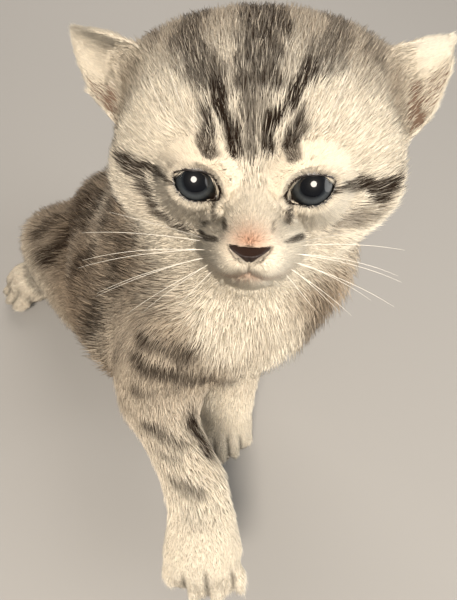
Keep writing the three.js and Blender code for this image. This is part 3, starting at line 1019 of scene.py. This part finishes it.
def eyeball_piece(node, material):
    """A smooth eyeball with a fuller cornea, its poles on the line of its gaze."""
    centre, left, up, gaze = eye_frame(node)
    ball = bmesh.new()
    bmesh.ops.create_uvsphere(ball, u_segments=64, v_segments=48, radius=EYEBALL)
    turn = Matrix((left, up, gaze)).transposed()
    off_gaze, fibre, lower = [], [], []
    for vert in ball.verts:
        flat = vert.co.xy.length
        ahead = vert.co.z > 0
        off_gaze.append(flat if ahead else EYEBALL)
        round_gaze = vert.co.xy.normalized() if flat > 1e-6 else Vector((0, 0))
        fibre.append((round_gaze.x * 3, round_gaze.y * 3, flat * 0.12))
        # Painted light and shade on the iris: lighter low on the eye, darker high up.
        lower.append(blend(0.55, 1.5, ease(3.5, -4.0, vert.co.y)))
        if ahead:
            vert.co.z += 0.35 * (1 - ease(2.5, 5.5, flat))
    bmesh.ops.transform(ball, matrix=turn.to_4x4(), verts=ball.verts)
    bmesh.ops.scale(ball, vec=(MM, MM, MM), verts=ball.verts)
    bmesh.ops.translate(ball, vec=Vector(centre), verts=ball.verts)
    name = node.replace("eye", "eyeball")
    mesh = mesh_from(ball, name)
    store(mesh, from_gaze=np.array(off_gaze), fibre=np.array(fibre), lower=np.array(lower))
    return finished(mesh, name, material, "eye", node)


# ---------------------------------------------------------------- nose and mouth

# Half the nose leather's width, depth and height, and the share its upper half is flattened by.
NOSE_WIDE, NOSE_DEEP, NOSE_TALL = 4.7, 2.9, 2.7
NOSE_FLAT = 0.18
NOSE_MIDDLE = in_head(middle("nose")[None])[0]
NOSTRIL_PLACE = np.array([2.9, -0.35])
MOUTH_LINES = (
    [(0, -14.4), (0, -16.6)],
    [(0, -16.6), (1.3, -17.9), (3.2, -19.6), (5.4, -21.6)],
    [(0, -16.6), (-1.3, -17.9), (-3.2, -19.6), (-5.4, -21.6)],
)


def nose_width(rise):
    """Half the nose leather's width, from its narrow foot at rise -1 to its broad top at 1."""
    return NOSE_WIDE * (0.2 + 0.86 * ease(-1.1, 0.5, rise))


def nose_piece(material):
    """The nose leather: a rounded triangle with two comma-shaped nostrils and a cleft."""
    pad = bmesh.new()
    bmesh.ops.create_uvsphere(pad, u_segments=72, v_segments=56, radius=1)
    nostril = []
    for vert in pad.verts:
        x, y, z = vert.co
        width = float(nose_width(z))
        place = np.array([abs(x) * width, z * NOSE_TALL])
        hole_gap = (place - NOSTRIL_PLACE) @ np.array([[0.85, -0.5], [0.5, 0.85]])
        hole = math.exp(-(hole_gap[0] / 1.15) ** 2 - (hole_gap[1] / 0.55) ** 2) * (y < 0.2)
        cleft = math.exp(-(x * width / 0.25) ** 2) * float(ease(0.5, -0.3, z)) * (y < 0)
        dip = 1.25 * (1 - x * x) ** 2 * float(ease(0.1, 1, z)) - 0.5 * abs(x) ** 3
        level = z * NOSE_TALL * (1 - NOSE_FLAT * float(ease(0, 1, z)))
        shaped = (x * width, y * NOSE_DEEP + 1.6 * hole + 0.4 * cleft, level - dip)
        vert.co = Vector(from_head(NOSE_MIDDLE + np.array(shaped)))
        nostril.append(min(1, hole * 1.6 + 0.6 * cleft))
    mesh = mesh_from(pad, "nose_leather")
    store(mesh, nostril=np.array(nostril))
    return finished(mesh, "nose_leather", material, "nose_leather", "nose")


def under_nose(points, normals, nose):
    """True where the nose leather covers the skin."""
    places, _, triangles = read_mesh(nose.data)
    pad = BVHTree.FromPolygons(places.tolist(), triangles.tolist())
    covered = np.zeros(len(points), bool)
    close = np.linalg.norm(points - middle("nose"), axis=1) < 8 * MM
    for place in np.flatnonzero(close):
        start = Vector(points[place] - normals[place] * 0.2 * MM)
        covered[place] = pad.ray_cast(start, Vector(normals[place]), 4 * MM)[0] is not None
    return covered


# Whisker pads, chin and the hollows beside the nose: how far each stands out, how far it is aside,
# half its width, its level and half its height.
MUZZLE_FORMS = (
    (1.2, 4.8, 3.2, -15.2, 2.8),
    (0.9, 0, 3.2, -21, 1.9),
    (-0.7, 7, 2, -8.5, 3.2),
)
# How deep the line of the mouth is and half its width.
MOUTH_DEPTH, MOUTH_WIDTH = 1.1, 0.55


def muzzle_relief(local):
    """How far the muzzle's skin stands out: whisker pads and chin full, the mouth's line sunk."""
    x, y, z = local.T
    front = ease(6, 0, y)
    forms = 0
    for height, aside, half_width, level, half_height in MUZZLE_FORMS:
        forms = forms + height * mound((np.abs(x) - aside) / half_width, (z - level) / half_height)
    line = -MOUTH_DEPTH * mound(from_mouth(local) / MOUTH_WIDTH)
    above = (z - NOSE_MIDDLE[2]) / NOSE_TALL
    bed = -1.5 * np.exp(-0.8 * ((x / nose_width(above)) ** 2 + above ** 2) ** 2)
    return front * (forms + line + bed)


def from_mouth(local):
    """How far head points lie from the line of the mouth, in millimetres, seen from ahead."""
    flat = local[:, [0, 2]]
    gaps = [to_line(flat, curve_through(line, 9)) for line in MOUTH_LINES]
    return np.where(local[:, 1] < 2, np.min(gaps, axis=0), 99)


# Half the width of a cleft between two toes, in millimetres.
CLEFT_WIDTH = 0.85


def between_toes(points):
    """How near each point is to a cleft between two toes, from 0 to 1."""
    closeness = np.zeros(len(points))
    for node, (heading, clefts) in TOE_CLEFTS.items():
        ahead = unit(np.array([*heading, 0.0]))
        aside = np.array([-ahead[1], ahead[0], 0.0])
        offset = (points - PAWS[node]) / MM
        on_paw = ease(4.5, 8, offset @ ahead) * ease(-7, -4, offset[:, 2])
        on_paw = on_paw * (np.linalg.norm(offset, axis=1) < 19)
        for cleft in clefts:
            closeness = np.maximum(closeness, on_paw * mound((offset @ aside - cleft) / CLEFT_WIDTH))
    return closeness


def refine(mesh):
    """Smaller faces round the mouth and between the toes, so that their lines can be cut in."""
    work = bmesh.new()
    work.from_mesh(mesh)
    for reach in (4.0, 2.4):
        places = np.array([vert.co[:] for vert in work.verts])
        local = in_head(places)
        to_nose = np.linalg.norm(local - NOSE_MIDDLE, axis=1)
        near = (from_mouth(local) < reach) | (to_nose < reach + 4.5) | (between_toes(places) > 0.02)
        edges = [edge for edge in work.edges if near[edge.verts[0].index] and near[edge.verts[1].index]]
        bmesh.ops.subdivide_edges(work, edges=edges, cuts=1, use_grid_fill=True)
        work.verts.index_update()
    bmesh.ops.triangulate(work, faces=[face for face in work.faces if len(face.verts) > 4])
    work.to_mesh(mesh)
    work.free()


# ---------------------------------------------------------------- the skin

def shaped_skin():
    """The skin's mesh, still without its lids, and the surfaces that carry it over the sockets."""
    mesh = folds_filled(wrapped((*FLESH, "nose"), FINE))
    points, edges, triangles = read_mesh(mesh)
    owners = nearest_nodes(points)
    points = smoothed_skin(points, edges, owners)
    averaged = averager(edges, len(points))
    normals = normals_of(points, triangles)
    raised = np.sum((points - settled_field(points, averaged, EVENING_PASSES)) * normals, 1)
    toes = raised * ease(*TOE_REACH, from_paws(points))
    points = points + normals * (TOES_RAISED * toes)[:, None]
    depth = coat_fields(points, owners, averaged).depth
    taken = depth + filling_reach(owners, averaged) + OVERLAP
    thin = settled_field(thickness(points, triangles, normals), averaged, 2)
    taken = np.where(thin < THICK, np.minimum(taken, MOST_OF_THICKNESS * thin), taken)
    is_ear = per_node(owners, {node: float(node in EARS) for node in FLESH})
    evening = np.maximum(EVENING * ease(0.6, 3, depth), EAR_EVENING * is_ear)[:, None]
    for _ in range(SHRINKING_STEPS):
        inward = normals_of(points, triangles) * taken[:, None] * MM / SHRINKING_STEPS
        points = points - inward
        points = blend(points, averaged(points), evening)
    points[:, 2] = np.maximum(points[:, 2], SKIN_OVER_FLOOR)
    mesh.vertices.foreach_set("co", points.ravel())
    mesh.update()
    refine(mesh)
    points, edges, triangles = read_mesh(mesh)
    normals = normals_of(points, triangles)
    relief = muzzle_relief(in_head(points)) - 1.0 * between_toes(points)
    points = points + normals * (relief * MM)[:, None]
    bridges = {node: bridging_surface(points, node) for node in EYES}
    for node in bridges:
        points = sink_behind_lids(points, node)
    mesh.vertices.foreach_set("co", points.ravel())
    mesh.update()
    return mesh, bridges


def skin_with_lids():
    """The skin and both eyes' lids in one mesh, the lids' rims, and where its lids' points start."""
    mesh, bridges = shaped_skin()
    points, _, triangles = read_mesh(mesh)
    face = BVHTree.FromPolygons(points.tolist(), triangles.tolist())
    whole = bmesh.new()
    whole.from_mesh(mesh)
    rims = {}
    for node, bridge in bridges.items():
        rings = lid_ring(node, face, bridge)
        rims[node] = np.vstack([rings[2], rings[2][:1]])
        whole.from_mesh(lids_mesh(rings, node))
        bead = Matrix.Translation(tear_corner(node))
        bmesh.ops.create_uvsphere(whole, u_segments=16, v_segments=12, radius=BEAD * MM, matrix=bead)
    whole.to_mesh(mesh)
    whole.free()
    return mesh, rims, len(points)


Skin = namedtuple("Skin", "points triangles normals owners lay coat kinds bare crease")

# Each ear: its root and tip, a place towards its upper edge, the way its hollow side faces, and
# how high on it the bare hollow ends.
EARS = {
    "ear_right": ((-31, 24, 7), (-49, 34, 18.3), (-28, 25, 14.5), (-0.35, -0.87, 0.32), -4.5),
    "ear_left": ((31, 24, 7), (49, 30, 20), (28, 25, 14.5), (0.24, -0.8, 0.55), -2.0),
}


def inside_ears(local, normals, owners):
    """How far each point lies in the bare hollow of an ear, below the furry band of its upper edge."""
    inside = np.zeros(len(local))
    for node, (*corners, band) in EARS.items():
        root, tip, upper, facing = (np.array(corner, float) for corner in corners)
        along = unit(tip - root)
        rise = upper - root
        rise = unit(rise - along * (rise @ along))
        height = (local - root) @ rise
        hollow = ease(0.1, 0.5, normals @ (unit(facing) @ HEAD_AXES)) * ease(band + 1, band - 1.5, height)
        inside = np.maximum(inside, hollow * (owners == FLESH.index(node)))
    return inside


def toe_crease_shade(points, normals, averaged):
    """How deep each point lies between the toes, from 0 to 1: the strength of the shade painted there."""
    sunk = np.sum((settled_field(points, averaged, 5) - points) * normals, 1) / MM
    return np.maximum(ease(0.06, 0.35, sunk) * ease(*TOE_REACH, from_paws(points)), between_toes(points))


def round_the_eyes(points, normals, lay, coat, is_lid):
    """The coat turned away from the eyes and shortened round them, and the skin their lids hide."""
    hidden = np.zeros(len(points), bool)
    for node in EYES:
        _, left, up, _ = eye_frame(node)
        across, depth = seen_from_gaze(points, node)
        aside = np.linalg.norm(across, axis=1)
        hidden |= (aside < SOCKET + 0.6) & (depth > -8) & (depth < 16) & ~is_lid
        near = ease(12, 6, aside) * ease(-5, -2, depth)
        outward = unit(across[:, :1] * left + (across[:, 1:] + 0.5) * up)
        lay = unit(blend(lay, along_surface(outward, normals), 0.8 * near[:, None]))
        fields = {name: blend(getattr(coat, name), getattr(LID_COAT, name), near) for name in Coat._fields}
        coat = Coat(**fields)
    return lay, coat, hidden


# How dark the skin is on the lips, on the wet beads and round the nose leather.
LIP_DARK, BEAD_DARK, NOSE_EDGE_DARK = 0.85, 0.85, 0.6


def dressed_skin(nose):
    """The skin as a piece, and the fields that the coat grows from."""
    mesh, rims, lids_from = skin_with_lids()
    points, edges, triangles = read_mesh(mesh)
    normals = normals_of(points, triangles)
    is_lid = np.arange(len(points)) >= lids_from
    owners = nearest_nodes(points)
    owners[is_lid] = FLESH.index("head")
    averaged = averager(edges, len(points))
    coat = coat_fields(points, owners, averaged)
    lay = lie_of_coat(points, normals, owners, averaged)
    lay, coat, hidden = round_the_eyes(points, normals, lay, coat, is_lid)
    kinds = shares_of_kinds(owners, averaged)
    local = in_head(points)
    inner = inside_ears(local, normals, owners)
    marks = markings(points + normals * (coat.depth * MM)[:, None], kinds)

    to_rim = np.min([to_line(points, rim) for rim in rims.values()], axis=0) / MM
    mouth = from_mouth(local)
    lips = LIP_DARK * (1 - ease(0.2, 0.6, mouth)) * ease(6, 2.5, np.abs(local[:, 0]))
    dark = np.maximum((1 - ease(0.45, 1.5, to_rim)) * is_lid, lips)
    to_bead = np.min([np.linalg.norm(points - tear_corner(node), axis=1) for node in rims], axis=0) / MM
    bead = is_lid & (to_bead < BEAD * 1.02)
    dark = np.maximum(dark, BEAD_DARK * bead)
    bare = np.maximum(hidden | bead, 1 - ease(0.35, 0.75, to_rim))
    bare = np.maximum(bare, 1 - ease(0.15, 0.5, mouth))
    covered = under_nose(points, normals, nose)
    dark = np.maximum(dark, NOSE_EDGE_DARK * settled_field(covered.astype(float), averaged, 2))
    bare = np.maximum(bare, covered)
    bare = np.maximum(bare, points[:, 2] < SOLE)
    bare = np.maximum(bare, 0.9 * inner)
    # Painted shade for the creases between the toes, read by the skin and by the tufts.
    crease = toe_crease_shade(points, normals, averaged) * ~is_lid
    store(mesh, lid=dark, inner=inner, crease=crease, **marks)
    finished(mesh, "skin", skin_material(), "coat", *FLESH)
    return Skin(points, triangles, normals, owners, lay, coat, kinds, bare, crease)


# ---------------------------------------------------------------- the coat

# The width of a tuft's patch on the map, and the most triangles that a piece of the coat may have.
PATCH = 0.003
MOST_TRIANGLES = 196000


def unwrapped(nodes):
    """A coarse skin of the named solids with its own unwrap: its points, its triangles, and their corners'
    places on the map.
    """
    mesh = wrapped(nodes, COARSE)
    carrier = placed("unwrap", mesh)
    bpy.context.view_layer.objects.active = carrier
    carrier.select_set(True)
    bpy.ops.object.mode_set(mode="EDIT")
    bpy.ops.mesh.select_all(action="SELECT")
    bpy.ops.mesh.quads_convert_to_tris()
    bpy.ops.uv.smart_project(angle_limit=math.radians(66), island_margin=0.004)
    bpy.ops.object.mode_set(mode="OBJECT")
    points, _, _ = read_mesh(mesh)
    corners = np.empty(len(mesh.loops), int)
    mesh.loops.foreach_get("vertex_index", corners)
    spots = np.empty(len(mesh.loops) * 2)
    mesh.uv_layers.active.uv.foreach_get("vector", spots)
    bpy.data.objects.remove(carrier)
    return points, corners.reshape(-1, 3), spots.reshape(-1, 3, 2)


def spots_on(unwrap, roots):
    """Where each root lies on an unwrap."""
    points, triangles, spots = unwrap
    tree = BVHTree.FromPolygons(points.tolist(), triangles.tolist())
    found = [tree.find_nearest(root) for root in roots.tolist()]
    faces = np.array([hit[2] for hit in found])
    places = np.array([hit[0][:] for hit in found])
    a, b, c = (points[triangles[faces, corner]] for corner in range(3))
    whole = np.linalg.norm(np.cross(b - a, c - a), axis=1)
    share_b = np.linalg.norm(np.cross(places - a, c - a), axis=1) / whole
    share_c = np.linalg.norm(np.cross(places - a, b - a), axis=1) / whole
    share_a = 1 - share_b - share_c
    shares = np.stack([share_a, share_b, share_c], 1)[:, :, None]
    return np.clip(np.sum(spots[faces] * shares, 1), 0.001, 1 - PATCH - 0.001)


def scattered(skin, chosen, count):
    """Roots spread over the chosen triangles as thickly as the coat is there."""
    triangles = skin.triangles[chosen]
    a, b, c = (skin.points[triangles[:, corner]] for corner in range(3))
    area = np.linalg.norm(np.cross(b - a, c - a), axis=1) / 2 / MM ** 2
    weight = area * (skin.coat.crowd * (1 - np.clip(skin.bare, 0, 1)))[triangles].mean(1)
    heap = np.cumsum(weight)
    steps = (np.arange(count) + chance.random(count)) / count * heap[-1]
    face = np.searchsorted(heap, steps).clip(0, len(triangles) - 1)
    along, across = chance.random((2, count))
    folded = along + across > 1
    along, across = np.where(folded, 1 - along, along), np.where(folded, 1 - across, across)
    shares = np.stack([1 - along - across, along, across], 1)
    corners = triangles[face]

    def read(values):
        if values.ndim == 1:
            return np.sum(values[corners] * shares, 1)
        return np.sum(values[corners] * shares[:, :, None], 1)

    return read


# How much tufts differ: in heading (radians), and as shares in length, lift, width and shade.
SWING = 0.17
LENGTHS, LIFTS, WIDTHS, SHADES = (0.65, 1.2), (0.75, 1.35), (0.7, 1.2), (0.76, 1.12)
# The lift of a tuft's lower and upper half, as shares of its own.
LOW_HALF, HIGH_HALF = 1.25, 0.55


def tuft_places(read, skin, count):
    """Each tuft's root in the skin, the bend halfway along it, its tip and the skin's normal."""
    normal = unit(read(skin.normals))
    lay = unit(read(skin.lay))
    aside = np.cross(normal, lay)
    swing = chance.normal(0, SWING, count)[:, None]
    heading = unit(lay * np.cos(swing) + aside * np.sin(swing))
    length = read(skin.coat.length) * chance.uniform(*LENGTHS, count) * MM
    lift = np.radians(read(skin.coat.lift) * chance.uniform(*LIFTS, count))
    root = read(skin.points) - normal * np.minimum(length * 0.03, 0.15 * MM)[:, None]
    low, high = lift[:, None] * LOW_HALF, lift[:, None] * HIGH_HALF
    half = length[:, None] / 2
    bend = root + half * (heading * np.cos(low) + normal * np.sin(low))
    tip = bend + half * (heading * np.cos(high) + normal * np.sin(high))
    return root, bend, tip, normal


# How strongly a tuft is drawn to its leader, and how much of their places bend and tip keep.
PULL, BEND_APART, TIP_APART = 0.5, 0.8, 0.25


def drawn_together(root, bend, tip, share, reach):
    """Gathers tufts towards their nearest leaders, as hairs cling in locks."""
    leaders = np.flatnonzero(chance.random(len(root)) < share)
    tree = KDTree(len(leaders))
    for place, leader in enumerate(leaders):
        tree.insert(root[leader], place)
    tree.balance()
    own = leaders[[tree.find(point)[1] for point in root.tolist()]]
    gap = np.linalg.norm(root - root[own], axis=1, keepdims=True)
    pull = PULL * (1 - ease(0.6, 1.0, gap / reach)) * chance.uniform(0.3, 1, (len(root), 1))
    tip = blend(tip, tip[own] + (root - root[own]) * TIP_APART, pull)
    return blend(bend, bend[own] + (root - root[own]) * BEND_APART, pull / 2), tip


# A tuft's section, the corners of its triangles without and with a bend, how full it is at the
# bend, and its corners' places on its patch of the map: at the root, the bend and the tip.
SECTION = np.array([(-0.5, 0.0), (0.5, 0.0), (0.0, 0.42)])
STRAIGHT = np.array([(0, 2, 1), (0, 1, 3), (1, 2, 3), (2, 0, 3)])
BENT = np.array([
    (0, 2, 1), (0, 1, 4), (0, 4, 3), (1, 2, 5), (1, 5, 4),
    (2, 0, 3), (2, 3, 5), (3, 4, 6), (4, 5, 6), (5, 3, 6),
])
BEND_FULLNESS = 0.8
PATCH_ROOT = [(0, 0), (1, 0), (0.5, -0.15)]
PATCH_BEND = [(0.05, 0.5), (0.95, 0.5), (0.5, 0.38)]
PATCH_TIP = [(0.5, 1)]


def tuft_mesh(name, centres, normal, width, bent, fields, spots):
    """Solid tapered tufts in one mesh: three corners at the root, three at a bend if any, a tip."""
    root, bend, tip = centres
    count = len(root)
    heading = unit(tip - root)
    side = unit(np.cross(heading, normal))
    over = np.cross(side, heading)
    rings = [(root, 1.0), (bend, BEND_FULLNESS)] if bent else [(root, 1.0)]
    places = []
    for centre, fullness in rings:
        for across, above in SECTION:
            places.append(centre + (side * across + over * above) * (width * fullness)[:, None] * MM)
    places = np.stack([*places, tip], 1)
    each = places.shape[1]
    faces = BENT if bent else STRAIGHT
    corners = (faces[None] + each * np.arange(count)[:, None, None]).reshape(-1)

    mesh = bpy.data.meshes.new(name)
    mesh.vertices.add(count * each)
    mesh.vertices.foreach_set("co", places.astype(np.float32).ravel())
    mesh.loops.add(len(corners))
    mesh.loops.foreach_set("vertex_index", corners)
    mesh.polygons.add(count * len(faces))
    mesh.polygons.foreach_set("loop_start", np.arange(0, len(corners), 3))
    mesh.update(calc_edges=True)

    patch = np.array([*PATCH_ROOT, *(PATCH_BEND if bent else []), *PATCH_TIP]) * PATCH
    layer = mesh.uv_layers.new(name="OFBake")
    bake = spots[:, None, None, :] + patch[faces][None]
    layer.uv.foreach_set("vector", bake.astype(np.float32).ravel())

    along = np.tile([0.0] * 3 + ([0.5] * 3 if bent else []) + [1.0], count)
    store(mesh, along=along, **{key: np.repeat(values, each) for key, values in fields.items()})
    return mesh


# Fur shorter than this, in millimetres, is made without a bend.
SHORT = 3.3
# The shares of tufts that are pale in a stripe and that are ticked with dark.
PALE_HAIRS, TICKED_HAIRS = 0.16, 0.12
# What a pale tuft keeps of its stripe, and how dark the ticking is.
PALE_KEEPS, TICKING = 0.45, 0.3

HEAD_NODES = ("head", "ear_right", "ear_left")
BODY_NODES = tuple(node for node in FLESH if node not in HEAD_NODES)

# Each part of the coat: its nodes, how many tufts it has, whether they bend, the share of them that
# lead a lock, and how far a lock gathers in millimetres.
COAT_PARTS = (
    ("coat_face", HEAD_NODES, 95000, False, 0.06, 1.0),
    ("coat_crown", HEAD_NODES, 31000, True, 0.07, 1.6),
    ("coat_body", BODY_NODES, 60000, True, 0.06, 3.0),
    ("coat_paws", tuple(PAWS), 40000, False, 0.06, 0.8),
)


def grow(skin, material, name, nodes, count, bent, leaders, reach):
    """Grows part of the coat of some nodes, in pieces of at most MOST_TRIANGLES triangles."""
    wanted = np.isin(skin.owners, [FLESH.index(node) for node in nodes])
    wanted &= (skin.coat.length >= SHORT) == bent
    chosen = wanted[skin.triangles].any(1) if bent else wanted[skin.triangles].all(1)
    chosen &= np.isin(skin.owners[skin.triangles[:, 0]], [FLESH.index(node) for node in nodes])
    read = scattered(skin, chosen, count)
    root, bend, tip, normal = tuft_places(read, skin, count)
    bend, tip = drawn_together(root, bend, tip, leaders, reach * MM)
    lowest = np.minimum(bend[:, 2], tip[:, 2])
    rise = np.maximum(FUR_OVER_FLOOR - lowest, 0)[:, None] * np.array([0, 0, 1])
    bend, tip = bend + rise, tip + rise
    width = read(skin.coat.width) * chance.uniform(*WIDTHS, count)
    kinds = {kind: read(shares) for kind, shares in skin.kinds.items()}
    fields = markings(blend(bend, tip, 0.35), kinds)
    pale = np.where(chance.random(count) < PALE_HAIRS, PALE_KEEPS, 1)
    ticked = TICKING * (chance.random(count) < TICKED_HAIRS) * (1 - fields["cream"] * 0.6)
    uneven = fields["stripe"] * pale + chance.normal(0, 0.08, count) * (0.2 + fields["stripe"]) + ticked
    fields["stripe"] = np.clip(uneven, 0, 1)
    fields["inner"] = np.zeros(count)
    # Each tuft's tone differs at random, with painted shade of up to half in the creases between the toes.
    fields["shade"] = chance.uniform(*SHADES, count) * (1 - 0.5 * read(skin.crease))
    spots = spots_on(unwrapped(nodes), root)
    order = chance.permutation(count)
    parts = math.ceil(count * len(BENT if bent else STRAIGHT) / MOST_TRIANGLES)
    for number, picked in enumerate(np.array_split(order, parts), 1):
        centres = root[picked], bend[picked], tip[picked]
        own = {key: values[picked] for key, values in fields.items()}
        part = f"{name}_{number}"
        mesh = tuft_mesh(part, centres, normal[picked], width[picked], bent, own, spots[picked])
        finished(mesh, part, material, "coat", *nodes)


# ---------------------------------------------------------------- whiskers

Whisker = namedtuple("Whisker", "root heading length droop dark")
# Roots on the whisker pad and headings, in the head's own directions with the outer side positive.
WHISKERS = [
    Whisker((9.5, -6, -11.5), (0.95, 0.1, 0.22), 26, 2, 0.8),
    Whisker((10.5, -5, -13), (0.98, 0.05, 0.1), 33, 5, 0.1),
    Whisker((9.0, -6.5, -14), (0.97, -0.02, 0.02), 34, 7, 0.0),
    Whisker((10.5, -5.5, -15), (0.96, 0.0, -0.12), 34, 6, 0.0),
    Whisker((9.0, -6.5, -16), (0.92, -0.08, -0.25), 32, 6, 0.0),
    Whisker((10.0, -5.5, -17), (0.9, -0.05, -0.35), 30, 5, 0.0),
    Whisker((8.5, -6.5, -17.8), (0.82, -0.15, -0.5), 27, 4, 0.0),
    Whisker((9.0, -5.5, -18.8), (0.75, -0.12, -0.62), 24, 3, 0.0),
    Whisker((7.5, -6, -19.5), (0.65, -0.2, -0.75), 19, 2, 0.0),
]
BROW_WHISKERS = [
    Whisker((12, 4, 8), (0.45, 0.35, 0.8), 13, -2, 0.35),
    Whisker((15, 5, 7), (0.6, 0.4, 0.7), 11, -2, 0.35),
]
# How long the left side's whiskers are, as a share of the right side's.
LEFT_SHARE = 0.8
ROOT_RADIUS, TIP_RADIUS = 0.08, 0.02
WHISKER_RINGS, WHISKER_SIDES = 12, 6


def whisker_piece(skin, material):
    """Both sides' whiskers, each a thin tapered rod in a gentle curve."""
    head = FLESH.index("head")
    own = (skin.owners == head)[skin.triangles].all(1)
    tree = BVHTree.FromPolygons(skin.points.tolist(), skin.triangles[own].tolist())
    turns = np.arange(WHISKER_SIDES)[:, None] * 2 * math.pi / WHISKER_SIDES
    work = bmesh.new()
    dark = []
    for side in (-1, 1):
        for plan in [*WHISKERS, *BROW_WHISKERS]:
            flip = np.array([side, 1, 1])
            root = np.array(tree.find_nearest(Vector(from_head(flip * plan.root)))[0])
            heading = unit(flip * np.array(plan.heading))
            shares = np.linspace(0, 1, WHISKER_RINGS)
            length = plan.length * chance.uniform(0.9, 1.08) * (LEFT_SHARE if side == 1 else 1)
            path = in_head(root[None]) + heading * (length * shares[:, None])
            path[:, 2] -= plan.droop * shares ** 2.2
            path[:, 1] += 1.5 * shares ** 2
            across = unit(np.cross(heading, [0, 0, 1.0]))
            above = np.cross(across, heading)
            circle = np.cos(turns) * across + np.sin(turns) * above
            rings = []
            for share, place in zip(shares, path):
                radius = blend(ROOT_RADIUS, TIP_RADIUS, share)
                rings.append(from_head(place + radius * circle))
                dark += [plan.dark * (1 - share)] * WHISKER_SIDES
            rows = add_rings(work, rings)
            work.faces.new(rows[0][::-1])
            work.faces.new(rows[-1])
    bmesh.ops.recalc_face_normals(work, faces=work.faces)
    mesh = mesh_from(work, "whiskers")
    store(mesh, stripe=np.array(dark))
    return finished(mesh, "whiskers", material, "coat")


# ---------------------------------------------------------------- the scene

# The camera's place from the head's origin, its heading and how far it looks down, in degrees.
CAMERA_FROM_HEAD = Vector((-0.053, -0.055, 0.0651))
CAMERA_HEADING, CAMERA_DIP = 40, 55
CAMERA_LENS = 27.3


def place_camera():
    """The camera above the kitten and ahead of it, looking down on its face."""
    camera = placed("camera", bpy.data.cameras.new("camera"))
    camera.location = Vector(HEAD) + CAMERA_FROM_HEAD
    camera.rotation_euler = (math.radians(90 - CAMERA_DIP), 0, math.radians(-CAMERA_HEADING))
    camera.data.lens = CAMERA_LENS
    camera.data.clip_start = MM
    bpy.context.scene.camera = camera


# Each lamp: its place, how wide it is, its power and its tint.
LAMPS = {
    "key": ((-0.45, -0.48, 0.74), 0.36, 13, "#fff4e6"),
    "fill": ((0.5, -0.85, 0.4), 0.9, 10, "#f8f5f0"),
    "back": ((0.5, 0.8, 0.7), 0.7, 7, "#fff6ec"),
}
LAMPS_AIM = Vector((0, -0.02, 0.09))
ROOM_TINT, ROOM_LIGHT = "#dddad6", 0.45
FLOOR_GREY = "#94928f"


def place_lamp(name, place, size, power, tint):
    """A soft round lamp aimed at the kitten's chest."""
    lamp = placed(name, bpy.data.lights.new(name, "AREA"))
    lamp.data.shape = "DISK"
    lamp.data.size = size
    lamp.data.energy = power
    lamp.data.color = linear(tint)[:3]
    lamp.location = place
    aim = LAMPS_AIM - Vector(place)
    lamp.rotation_euler = aim.to_track_quat("-Z", "Y").to_euler()


def light_studio():
    """Three soft lamps in an even, pale surround."""
    for name, plan in LAMPS.items():
        place_lamp(name, *plan)
    world = bpy.data.worlds.new("studio")
    world.use_nodes = True
    background = world.node_tree.nodes["Background"]
    background.inputs["Color"].default_value = linear(ROOM_TINT)
    background.inputs["Strength"].default_value = ROOM_LIGHT
    bpy.context.scene.world = world
    bpy.context.scene.view_settings.view_transform = "Standard"


def lay_floor():
    """A plain floor, which is stage and no part of the kitten."""
    floor = bmesh.new()
    bmesh.ops.create_grid(floor, x_segments=1, y_segments=1, size=3)
    mesh = mesh_from(floor, "floor")
    piece = placed("floor", mesh)
    material, _, shader = new_material("pale_floor")
    shader.inputs["Base Color"].default_value = linear(FLOOR_GREY)
    shader.inputs["Roughness"].default_value = 0.8
    mesh.materials.append(material)


place_camera()
light_studio()
lay_floor()
skin = dressed_skin(nose_piece(leather_material()))
eye = eye_material()
for node in EYES:
    eyeball_piece(node, eye)
fur = fur_material()
for part in COAT_PARTS:
    grow(skin, fur, *part)
whisker_piece(skin, whisker_material())
